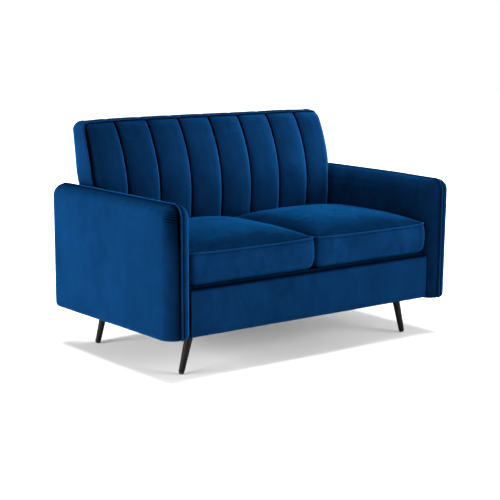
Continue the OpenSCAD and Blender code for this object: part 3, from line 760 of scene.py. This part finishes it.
def band_path():
    """The band's front seam, from left foot to right foot: (point, inward direction, roll at the rear)."""
    top = SOFA_TOP - 0.001
    side_steps = [(z, 0.0) for z in np.linspace(DECK + 0.01, top - TOP_CORNER, 60)]
    corner_steps = [(None, a) for a in np.linspace(0, math.pi / 2, 11)[1:]]
    half = []
    for z, a in side_steps + corner_steps:
        rise = math.sin(a)
        level = z if z is not None else top - TOP_CORNER + TOP_CORNER * rise
        x = back_width(level) - TOP_CORNER * (1 - math.cos(a))
        y = side_seam_y(level) + (top_seam_y() - side_seam_y(level)) * rise ** 2
        roll = REAR_EDGE[0] + (REAR_EDGE[1] - REAR_EDGE[0]) * rise
        half.append((x, y, level, math.cos(a), rise, roll))
    path = [(Vector((-x, y, z)), Vector((c, 0, -s)), roll) for x, y, z, c, s, roll in half]
    end = half[-1][0]
    for x in np.linspace(-end, end, 150)[1:-1]:
        path.append((Vector((x, top_seam_y(), top)), Vector((0, 0, -1)), REAR_EDGE[1]))
    path += [(Vector((x, y, z)), Vector((-c, 0, -s)), roll) for x, y, z, c, s, roll in reversed(half)]
    return [(p - Vector((0, 0, droop(p.x, p.z))), inward, roll) for p, inward, roll in path]


def make_back_piping():
    cord = [p + inward * 0.0016 + Vector((0, -0.0016, 0)) for p, inward, roll in band_path()]
    mesh = tube("back_piping_cord", resample(cord, 0.006), BACK_PIPE_R)
    add_object("back_piping_cord", mesh, "frame", PIPING, ["back_piping"])


def make_back_band():
    """The band round the sides and top of the back, rolled over on to the outside back at its rear."""
    flat_cols, roll_cols = 24, 7
    verts, shade = [], []
    path = band_path()
    for p, inward, roll in path:
        end_z = p.z + inward.z * roll
        run = rear_y(end_z) - roll - p.y
        above = float(smooth(ARM_TOP - 0.03, ARM_TOP + 0.05, p.z))
        verts.append(p + inward * 0.022 + Vector((0, 0.004, 0)))
        # Painted shade: full along the band's inner edge and dark just behind its front seam.
        shade.append(1.0)
        for c in range(flat_cols):
            t = (c / (flat_cols - 1)) ** 1.6
            shade.append(0.9 * math.exp(-(t * run / 0.0035) ** 2))
            bulge = above * (0.0100 * abs(inward.x) * math.sin(math.pi * t ** 2.0) ** 0.6
                             + 0.0015 * abs(inward.z) * math.sin(math.pi * t))
            crease = 0.0030 * math.exp(-(t * run / 0.004) ** 2)
            ripple = 0.0007 * wander((p.x, p.y + t * run, p.z), 12.0, 2.0) * above
            verts.append(p - inward * (bulge + ripple - crease) + Vector((0, run * t, 0)))
        for c in range(1, roll_cols + 1):
            a = math.pi / 2 * c / roll_cols
            verts.append(p + inward * roll * (1 - math.cos(a)) + Vector((0, run + roll * math.sin(a), 0)))
            shade.append(0.0)
    mesh = mesh_from("back_band", verts, grid_faces(len(path), 1 + flat_cols + roll_cols))
    paint_shade(mesh, shade)
    piece = add_object("back_band", mesh, "frame", BAND_VELVET, ["back_boxing"])
    thicken(piece, 0.002)


def make_rear_panel():
    """The outside back: one stretched panel, upright to above the seat and raked above it."""
    cols, rows = 60, 60
    top = SOFA_TOP - REAR_EDGE[1] + 0.001
    verts = []
    for r in range(rows):
        z = UNDER + (top - UNDER) * (1 - (1 - r / (rows - 1)) ** 1.5)
        inset = REAR_EDGE[0] - 0.0015 if z > DECK else 0.002
        near_top = max(0.0, (z - (SOFA_TOP - TOP_CORNER)) / (TOP_CORNER - REAR_EDGE[1]))
        inset += (TOP_CORNER - REAR_EDGE[0]) * near_top
        for c in range(cols):
            u = 2 * c / (cols - 1) - 1
            x = u * (back_width(z) - inset)
            height = (z - UNDER) / (top - UNDER)
            puff = REAR_PUFF * (1 - u ** 8) * max(0.0, math.sin(math.pi * min(1.0, height))) ** 0.6
            ripple = 0.0005 * wander((x, z, 0), 9.0, 4.0) * puff / REAR_PUFF
            verts.append((x, rear_y(z) - 0.0008 + puff + ripple, z))
    mesh = mesh_from("outside_back", verts, grid_faces(rows, cols))
    piece = add_object("outside_back", mesh, "frame", VELVET, ["back_rear_panel"])
    thicken(piece, 0.003)


def make_back_padding():
    """The soft padding between the channels and the straps, rounded at its top."""
    lo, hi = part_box("back_foam")
    behind = GROOVE_DEPTH + 0.012                # from the channels' crest to the padding
    rail_top = high("back_top_rail").z + 0.002
    cols, rows = 50, 60
    verts = []
    for level in (0, 1):
        for r in range(rows):
            z = lo.z + 0.001 + (hi.z - 0.014 - lo.z) * (1 - (1 - r / (rows - 1)) ** 1.5)
            wide = min(hi.x, rounded_width(z)) - 0.008
            front = max(crest_y(z) + behind, side_seam_y(z) + 0.008)
            rear = max(front + 0.004, rear_y(z) - (0.052 if z < rail_top else 0.016))
            for c in range(cols):
                u = 2 * c / (cols - 1) - 1
                edge = (rear - front) / 2 * (1 - (1 - abs(u) ** 24) ** 0.5)
                y = rear - edge if level else front + edge + 0.001 * wander((u, z, level), 6.0)
                verts.append((u * wide, y, z))
    mesh = mesh_from("back_padding", verts, slab_faces(rows, cols))
    piece = add_object("back_padding", mesh, "frame", SLOT_MATERIALS["foam"], ["back_foam"])


# ---------- seat rail ----------

RAIL_LAP_UNDER = 0.0375                          # how far the cover reaches under the rail
RAIL_FOOT_R, RAIL_TOP_R = 0.008, 0.016           # rounding of the rail's lower and upper edges
RAIL_LAP_OVER = 0.049                            # how far it reaches over the deck
RAIL_PUFF = 0.0030                               # swell of the padded face
RAIL_SAG = 0.0032                                # how far the padding hangs under the frame


def make_front_rail():
    """The padded front of the seat: a soft panel that turns under at the bottom and over at the top."""
    h = DECK - UNDER
    back = BASE_FRONT + RAIL_LAP_UNDER
    outline = [(back, UNDER + 0.004)]
    outline += [(back - 0.029 * t, UNDER + 0.004 * (1 - t) ** 3) for t in np.linspace(0, 1, 8)]
    for a in np.linspace(0, math.pi / 2, 7)[1:]:
        rise = RAIL_FOOT_R * (1 - math.cos(a))
        outline.append((BASE_FRONT + RAIL_FOOT_R * (1 - math.sin(a)), UNDER + rise))
    flat = h - RAIL_FOOT_R - RAIL_TOP_R
    outline += [(BASE_FRONT, UNDER + RAIL_FOOT_R + flat * t) for t in np.linspace(0, 1, 30)[1:-1]]
    for a in np.linspace(0, math.pi / 2, 9):
        outline.append((BASE_FRONT + RAIL_TOP_R * (1 - math.cos(a)), DECK - RAIL_TOP_R * (1 - math.sin(a))))
    outline += [(BASE_FRONT + RAIL_LAP_OVER, DECK), (BASE_FRONT + RAIL_LAP_OVER, DECK - 0.012)]
    cols = 130
    verts = []
    for y, z in outline:
        k = (z - UNDER) / h
        face = float(smooth(BASE_FRONT + 0.012, BASE_FRONT + 0.004, y))
        sag = RAIL_SAG * float(smooth(UNDER + 0.06, UNDER, z))
        for c in range(cols):
            u = math.sin(math.pi / 2 * (2 * c / (cols - 1) - 1))
            x = u * (BASE_X + 0.0004)
            puff = RAIL_PUFF * max(0.0, math.sin(math.pi * k)) * (1 - u ** 10)
            hem = 0.0022 * math.exp(-((z - UNDER - 0.017) / 0.0035) ** 2)
            ripple = 0.0007 * wander((x, z, 0), 8.0, 1.0) + 0.0009 * wander((x, z * 3, 0), 3.0, 6.0)
            verts.append((x, y - (puff - hem - ripple) * face, z - sag))
    rows = len(outline)
    faces = grid_faces(rows, cols)
    faces.append(tuple(range(cols)) + tuple(reversed(range((rows - 1) * cols, rows * cols))))
    faces.append(tuple(r * cols for r in reversed(range(rows))))
    faces.append(tuple(r * cols + cols - 1 for r in range(rows)))
    mesh = mesh_from("front_rail_pad", verts, faces)
    piece = add_object("front_rail_pad", mesh, "frame", RAIL_VELVET,
                       ["front_rail_cover", "front_rail_foam"])


def make_deck():
    """The thin pad the cushions lie on, in the same cloth."""
    lo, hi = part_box("deck_pad")
    lo = lo + Vector((0.0005, 0, 0.0005))
    hi = hi - Vector((0.0005, 0.0005, 0.0006))
    cols, rows = 60, 40
    verts = []
    for level in (0, 1):
        for r in range(rows):
            for c in range(cols):
                u, v = 2 * c / (cols - 1) - 1, 2 * r / (rows - 1) - 1
                x = (lo.x + hi.x) / 2 + u * (hi.x - lo.x) / 2
                y = (lo.y + hi.y) / 2 + v * (hi.y - lo.y) / 2
                edge = 0.006 * (1 - (1 - abs(u) ** 40) * (1 - abs(v) ** 30))
                sag = 0.0012 * (1 - u * u) * (1 - v * v) + 0.0006 * (1 + wander((x, y, 0), 7.0, 5.0))
                verts.append((x, y, hi.z - edge - sag if level else lo.z))
    mesh = mesh_from("deck_cloth_pad", verts, slab_faces(rows, cols))
    piece = add_object("deck_cloth_pad", mesh, "frame", RAIL_VELVET, ["deck_pad"])


# ---------- legs ----------

LEG_TOP_R, LEG_FOOT_R = 0.0150, 0.0105           # radius of a leg at its top and at its foot
LEG_SIDES = 40                                   # facets round a leg
SPLAY = math.radians(14.9)                       # how far a leg leans inwards
FOOT_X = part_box("foot_glides")[1].x - 0.0100 / math.cos(SPLAY)
LEGS = ("leg_front_left", "leg_front_right", "leg_rear_left", "leg_rear_right")
GLIDE = 0.006                                    # height of the glide's visible rim


def turned(name, profiles):
    """One mesh of turned shapes. Each is (point on the floor, side, [(distance up the axis, radius)])."""
    sides = LEG_SIDES
    verts, faces = [], []
    for base, side, profile in profiles:
        up = Vector((-side * math.sin(SPLAY), 0, math.cos(SPLAY)))
        across = Vector((math.cos(SPLAY), 0, side * math.sin(SPLAY)))
        faces += grid_faces(len(profile), sides, wrap=True, start=len(verts))
        for s, r in profile:
            for k in range(sides):
                a = 2 * math.pi * k / sides
                p = base + up * s + across * (r * math.cos(a)) + Vector((0, r * math.sin(a), 0))
                verts.append((p.x, p.y, max(0.0002, p.z)))
    return mesh_from(name, verts, faces, join=1e-6)


def foot_point(node):
    """Where a leg's axis meets the floor, and the leg's side."""
    lo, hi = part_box(node)
    side = 1 if lo.x > 0 else -1
    return Vector((side * FOOT_X, (lo.y + hi.y) / 2, 0.0)), side


def make_leg(node):
    """A turned, tapered leg on a rounded glide, along the CAD leg's axis."""
    base, side = foot_point(node)
    length = (high(node).z - LEG_TOP_R * math.sin(SPLAY)) / math.cos(SPLAY)
    profile = [(GLIDE, 0.0), (GLIDE, LEG_FOOT_R * 0.88), (GLIDE + 0.0020, LEG_FOOT_R * 0.975),
               (GLIDE + 0.0045, LEG_FOOT_R)]
    start = profile[-1][0]
    for t in np.linspace(0, 1, 24)[1:]:
        profile.append((start + (length - start - 0.0015) * t, LEG_FOOT_R + (LEG_TOP_R - LEG_FOOT_R) * t))
    profile += [(length - 0.0006, LEG_TOP_R - 0.0004), (length, LEG_TOP_R - 0.0014), (length, 0.0)]
    mesh = turned("turned_" + node, [(base, side, profile)])
    add_object("turned_" + node, mesh, "frame", SLOT_MATERIALS["leg_wood"], [node])


def make_glides():
    """The domed glides under the legs, flat where they stand on the floor."""
    dome = [(0.0, 0.0)]
    for a in np.linspace(0, math.pi / 2, 9):
        dome.append((GLIDE * (1 - math.cos(a)), LEG_FOOT_R * (0.42 + 0.46 * math.sin(a))))
    dome.append((GLIDE, 0.0))
    mesh = turned("domed_glides", [foot_point(node) + (dome,) for node in LEGS])
    add_object("domed_glides", mesh, "frame", SLOT_MATERIALS["glide"], ["foot_glides"])


# ---------- cushions ----------

CUSHION_R = 0.024                                # corner radius seen from above
CUSHION_ROLL = 0.026                             # rounding of the lower edges
CUSHION_W = (CUSHION_HIGH.x - CUSHION_LOW.x) / 2 - 0.0012
CUSHION_D = (LUMBAR_Y - 0.004 - CUSHION_LOW.y) / 2
CUSHION_MID = Vector(((CUSHION_LOW.x + CUSHION_HIGH.x) / 2, CUSHION_LOW.y + CUSHION_D, 0))
SEAM_Z = CUSHION_HIGH.z - 0.008
EAR = 0.005                                      # how far the seam lifts at the corners
BORDER_BULGE = 0.005                             # swell of the side band before the simulation
CLOTH_FRAMES = 20                                # length of the cloth simulation


def cushion_loop(inset):
    """A rounded rectangle round the cushion's middle, the same count of points each time."""
    w, d = CUSHION_W - inset, CUSHION_D - inset
    r = max(CUSHION_R - inset * 0.5, 0.006)
    n, m = 26, 8
    loop = []
    for sx, sy in ((1, -1), (1, 1), (-1, 1), (-1, -1)):
        turn = {(1, -1): 270, (1, 1): 0, (-1, 1): 90, (-1, -1): 180}[(sx, sy)]
        for k in range(m):
            a = math.radians(turn + 90 * k / m)
            loop.append((sx * (w - r) + r * math.cos(a), sy * (d - r) + r * math.sin(a)))
        a = math.radians(turn + 90)
        last = (sx * (w - r) + r * math.cos(a), sy * (d - r) + r * math.sin(a))
        nx, ny = {(1, -1): (1, 1), (1, 1): (-1, 1), (-1, 1): (-1, -1), (-1, -1): (1, -1)}[(sx, sy)]
        first = (nx * (w - r) + r * math.cos(a), ny * (d - r) + r * math.sin(a))
        loop += [(last[0] + (first[0] - last[0]) * k / n, last[1] + (first[1] - last[1]) * k / n)
                 for k in range(n)]
    return loop


def seam_z(x, y):
    """Height of the top seam: it lifts into small ears at the corners."""
    u, v = min(1.0, abs(x) / CUSHION_W), min(1.0, abs(y) / CUSHION_D)
    return SEAM_Z + EAR * (u * v) ** 5


def crown_z(x, y):
    u, v = min(1.0, abs(x) / CUSHION_W), min(1.0, abs(y) / CUSHION_D)
    swell = (1 - u ** 3.6) ** 0.62 * (1 - v ** 3.6) ** 0.62
    return seam_z(x, y) + (CUSHION_CROWN - 0.004 - SEAM_Z) * swell


def cushion_form(side):
    """A crowned box cushion as one closed mesh, before the cloth simulation."""
    centre = Vector((side * CUSHION_MID.x, CUSHION_MID.y, 0))
    edge = cushion_loop(0)
    count = len(edge)
    rings = []
    for k in np.linspace(0.04, 1, 30):
        rings.append([(x * k, y * k, crown_z(x * k, y * k)) for x, y in edge])
    bottom = CUSHION_BOTTOM + 0.001
    for t in np.linspace(0, 1, 16)[1:]:
        z = SEAM_Z + (bottom - SEAM_Z) * t
        bulge = BORDER_BULGE * math.sin(math.pi * min(1.0, t * 1.15)) if t < 0.87 else 0.0
        low = max(0.0, (bottom + CUSHION_ROLL - z) / CUSHION_ROLL)
        inset = CUSHION_ROLL * (1 - math.sqrt(max(0.0, 1 - low * low))) - bulge + 0.001
        ease = 1 - t
        rings.append([(x, y, z + (seam_z(ex, ey) - SEAM_Z) * ease)
                      for (x, y), (ex, ey) in zip(cushion_loop(inset), edge)])
    for k in np.linspace(1, 0.05, 10)[1:]:
        rings.append([(x * k, y * k, bottom) for x, y in cushion_loop(CUSHION_ROLL)])
    verts = [Vector(p) + centre for ring in rings for p in ring]
    faces = grid_faces(len(rings), count, wrap=True)
    faces.append(tuple(range(count)))
    last = (len(rings) - 1) * count
    faces.append(tuple(reversed(range(last, last + count))))
    return mesh_from("cushion_form", verts, faces)


def coordinates(mesh):
    values = np.empty(len(mesh.vertices) * 3)
    mesh.vertices.foreach_get("co", values)
    return values.reshape(-1, 3)


def evaluated_mesh(piece):
    depsgraph = bpy.context.evaluated_depsgraph_get()
    return bpy.data.meshes.new_from_object(piece.evaluated_get(depsgraph))


def inflate(piece, seam_weight, voxel, pressure, cap):
    """Remeshes a filled piece and blows it up as cloth held at its seams. The result becomes its mesh."""
    material = piece.data.materials[0]
    remesh = piece.modifiers.new("remesh", "REMESH")
    remesh.mode = "VOXEL"
    remesh.voxel_size = voxel
    mesh = evaluated_mesh(piece)
    piece.modifiers.clear()
    piece.data = mesh
    start = coordinates(mesh)
    held = piece.vertex_groups.new(name="seams")
    for k, p in enumerate(start):
        held.add([k], seam_weight(p), "REPLACE")
    cloth = piece.modifiers.new("cloth", "CLOTH")
    cloth.settings.quality = 4
    cloth.settings.mass = 0.35
    cloth.settings.tension_stiffness = 14
    cloth.settings.compression_stiffness = 14
    cloth.settings.shear_stiffness = 6
    cloth.settings.bending_stiffness = 6
    cloth.settings.vertex_group_mass = "seams"
    cloth.settings.use_pressure = True
    cloth.settings.uniform_pressure_force = pressure
    cloth.settings.effector_weights.gravity = 0
    cloth.point_cache.frame_start, cloth.point_cache.frame_end = 1, CLOTH_FRAMES
    for frame_number in range(1, CLOTH_FRAMES + 1):
        bpy.context.scene.frame_set(frame_number)
    relax = piece.modifiers.new("relax", "SMOOTH")
    relax.factor, relax.iterations = 0.5, 6
    blown = evaluated_mesh(piece)
    move = coordinates(blown) - start
    length = np.linalg.norm(move, axis=1, keepdims=True)
    final = start + move * np.minimum(1, cap / np.maximum(length, 1e-9))
    piece.modifiers.clear()
    piece.vertex_groups.clear()
    mesh.vertices.foreach_set("co", final.ravel())
    mesh.update()
    mesh.materials.clear()
    mesh.materials.append(material)
    mesh.shade_smooth()
    bpy.context.scene.frame_set(1)


def cushion_hold(side):
    """How firmly each point of a cushion is held: fully at the piping and at the deck."""
    cx, cy = side * CUSHION_MID.x, CUSHION_MID.y

    def weight(p):
        x, y = abs(p[0] - cx), abs(p[1] - cy)
        rim = max(x - CUSHION_W, y - CUSHION_D)
        seam = math.hypot(max(0.0, -rim - 0.004), p[2] - seam_z(p[0] - cx, p[1] - cy))
        firm = 1 - float(smooth(0.004, 0.022, seam))
        return max(firm, 1.0 if p[2] < CUSHION_BOTTOM + 0.006 else 0.0)
    return weight


def pucker_seam(mesh, side):
    """Tiny puckers where the stitching draws the cloth in beside the piping."""
    cx, cy = side * CUSHION_MID.x, CUSHION_MID.y
    points = coordinates(mesh)
    for k, p in enumerate(points):
        x, y = p[0] - cx, p[1] - cy
        rim = max(abs(x) - CUSHION_W, abs(y) - CUSHION_D)
        if rim < -0.03:
            continue
        away = math.hypot(max(0.0, -rim), p[2] - seam_z(x, y))
        along = y if abs(x) / CUSHION_W > abs(y) / CUSHION_D else x
        reach = math.exp(-(away / 0.012) ** 2)
        wave = math.sin(2 * math.pi * along / 0.017 + 2.5 * math.sin(along * 31))
        pull = 0.0007 * reach * wave + 0.0026 * math.exp(-(away / 0.0050) ** 2)
        points[k][0] -= pull * x / CUSHION_W
        points[k][1] -= pull * y / CUSHION_D
        points[k][2] -= pull * 0.6 if p[2] > seam_z(x, y) else 0.0
    mesh.vertices.foreach_set("co", points.ravel())
    mesh.update()


def shade_cushion(mesh, side):
    """Dark beside the piping and under the cushion, a little darker where the crown falls to its seam."""
    cx, cy = side * CUSHION_MID.x, CUSHION_MID.y
    shade = []
    for p in coordinates(mesh):
        x, y = p[0] - cx, p[1] - cy
        rim = max(abs(x) - CUSHION_W, abs(y) - CUSHION_D)
        away = math.hypot(max(0.0, -rim), p[2] - seam_z(x, y))
        top = 0.30 * math.exp(-(away / 0.045) ** 2) if p[2] > seam_z(x, y) else 0.0
        low_edge = 0.8 * float(smooth(CUSHION_BOTTOM + 0.022, CUSHION_BOTTOM + 0.004, p[2]))
        shade.append(max(low_edge, 0.85 * math.exp(-(away / 0.0045) ** 2) + top))
    paint_shade(mesh, shade)


def keep_inside(mesh, side):
    """Keeps the simulated cushion clear of its neighbours, the deck and the back."""
    points = coordinates(mesh)
    cx, cy = side * CUSHION_MID.x, CUSHION_MID.y
    limit_x, limit_y = CUSHION_W + 0.0010, CUSHION_D + 0.002
    points[:, 0] = cx + np.clip(points[:, 0] - cx, -limit_x, limit_x)
    points[:, 1] = cy + np.clip(points[:, 1] - cy, -limit_y - 0.004, limit_y)
    points[:, 2] = np.maximum(points[:, 2], CUSHION_BOTTOM + 0.0003)
    mesh.vertices.foreach_set("co", points.ravel())
    mesh.update()


def make_cushion(side):
    hand = "left" if side < 0 else "right"
    mesh = cushion_form(side)
    piece = add_object(f"seat_cushion_{hand}", mesh, f"cushion_{hand}", CUSHION_VELVET,
                       [f"cushion_cover_{hand}", f"cushion_foam_{hand}"])
    inflate(piece, cushion_hold(side), 0.0065, 4.0, 0.022)
    pucker_seam(piece.data, side)
    keep_inside(piece.data, side)
    shade_cushion(piece.data, side)
    smoother = piece.modifiers.new("subdivision", "SUBSURF")
    smoother.levels = smoother.render_levels = 1
    make_cushion_piping(side, piece)


def make_cushion_piping(side, cushion):
    """The piping cord lies in the cushion's top seam, wherever the simulation left it."""
    hand = "left" if side < 0 else "right"
    centre = Vector((side * CUSHION_MID.x, CUSHION_MID.y, 0))
    surface = cushion.data
    tree = BVHTree.FromPolygons([v.co for v in surface.vertices], [p.vertices for p in surface.polygons])
    flat = [centre + Vector((x, y, seam_z(x, y))) for x, y in cushion_loop(0)]
    path = resample(flat + [flat[0]], 0.006)[:-1]
    cord = []
    for p in path:
        near, normal, _, _ = tree.find_nearest(p)
        out = Vector((normal.x, normal.y, max(0.0, normal.z))).normalized()
        cord.append(near + out * PIPE_R * 0.7 + Vector((0, 0, 0.0005 * wander(p, 9.0, side))))
    for _ in range(3):
        cord = [(cord[k - 1] + cord[k] * 2 + cord[(k + 1) % len(cord)]) / 4 for k in range(len(cord))]
    limit = CUSHION_W + 0.0012 - PIPE_R * 0.6
    cord = [Vector((centre.x + max(-limit, min(limit, p.x - centre.x)), p.y, p.z)) for p in cord]
    name = f"cushion_piping_cord_{hand}"
    mesh = tube(name, cord, PIPE_R, closed=True)
    add_object(name, mesh, f"cushion_{hand}", PIPING, [f"cushion_piping_{hand}"])


# ---------- camera, light and floor ----------

def make_camera():
    data = bpy.data.cameras.new("camera")
    data.lens = 97.26
    data.sensor_width = 36.0
    camera = bpy.data.objects.new("camera", data)
    bpy.context.collection.objects.link(camera)
    camera.location = (-3.0493, -4.0083, 1.2320)
    camera.rotation_euler = (math.radians(90 - 10.05), 0, math.radians(-37.16))
    data.clip_end = 60
    bpy.context.scene.camera = camera


def area_light(name, place, target, size, power):
    data = bpy.data.lights.new(name, "AREA")
    data.shape = "RECTANGLE"
    data.size, data.size_y = size
    data.energy = power
    lamp = bpy.data.objects.new(name, data)
    bpy.context.collection.objects.link(lamp)
    lamp.location = place
    lamp.rotation_euler = (Vector(target) - Vector(place)).to_track_quat("-Z", "Y").to_euler()


KEY, FILL, TOP, RIM = 330, 260, 1400, 110
HORIZON, ZENITH = 1.0, 0.25


def make_light():
    area_light("key", (-4.6, 0.3, 1.0), (0, 0, 0.45), (3.0, 1.6), KEY)
    area_light("fill", (2.8, -4.0, 1.4), (0, 0, 0.4), (3.0, 2.2), FILL)
    area_light("top", (0, 0, 9.0), (0, 0, 0), (5.0, 5.0), TOP)
    area_light("rim", (4.6, -0.6, 1.1), (0, 0, 0.45), (3.0, 1.6), RIM)
    world = bpy.data.worlds.new("world")
    bpy.context.scene.world = world
    world.use_nodes = True
    tree = world.node_tree
    back = tree.nodes["Background"]
    place = tree.nodes.new("ShaderNodeTexCoord")
    split = tree.nodes.new("ShaderNodeSeparateXYZ")
    ramp = tree.nodes.new("ShaderNodeValToRGB")
    ramp.color_ramp.elements[0].position = 0.03
    ramp.color_ramp.elements[0].color = (HORIZON, HORIZON, HORIZON, 1)
    ramp.color_ramp.elements[1].position = 0.40
    ramp.color_ramp.elements[1].color = (ZENITH, ZENITH, ZENITH, 1)
    tree.links.new(place.outputs["Generated"], split.inputs[0])
    tree.links.new(split.outputs["Z"], ramp.inputs["Fac"])
    tree.links.new(ramp.outputs["Color"], back.inputs["Color"])
    back.inputs["Strength"].default_value = 1.0
    bpy.context.scene.view_settings.view_transform = "Standard"


def make_floor():
    half = 12.0
    mesh = mesh_from("floor", [(-half, -half, 0), (half, -half, 0), (half, half, 0), (-half, half, 0)],
                     [(0, 1, 2, 3)])
    floor = bpy.data.objects.new("floor", mesh)
    bpy.context.collection.objects.link(floor)
    m = Nodes("glowing_floor_paper")
    grain = m.noise(60.0, 2.0)
    colour = m.ramp(grain, [(0.3, (0.93, 0.93, 0.93)), (0.7, (0.95, 0.95, 0.95))])
    m.link(colour, m.shader.inputs["Base Color"])
    # Painted light: the floor glows, hardly at all near the sofa and fully from 2.4 m out, so it is white
    # far off and grey round the sofa's shadow.
    away = m.add("ShaderNodeVectorMath", operation="LENGTH")
    m.link(m.place, away.inputs[0])
    m.link(m.span(away.outputs["Value"], 0.03, 1.0, (0.75, 2.4)), m.shader.inputs["Emission Strength"])
    m.set(Roughness=0.9, Emission_Color=(1, 1, 1, 1))
    mesh.materials.append(m.material)


# ---------- everything ----------

make_camera()
make_light()
make_floor()
dress_cad_nodes()
for hand in (-1, 1):
    make_arm(hand, True)
    make_arm(hand, False)
    make_arm_piping(hand)
    make_cushion(hand)
for number in range(CHANNELS):
    make_channel(number)
make_back_piping()
make_back_band()
make_rear_panel()
make_back_padding()
make_front_rail()
make_deck()
for leg in LEGS:
    make_leg(leg)
make_glides()
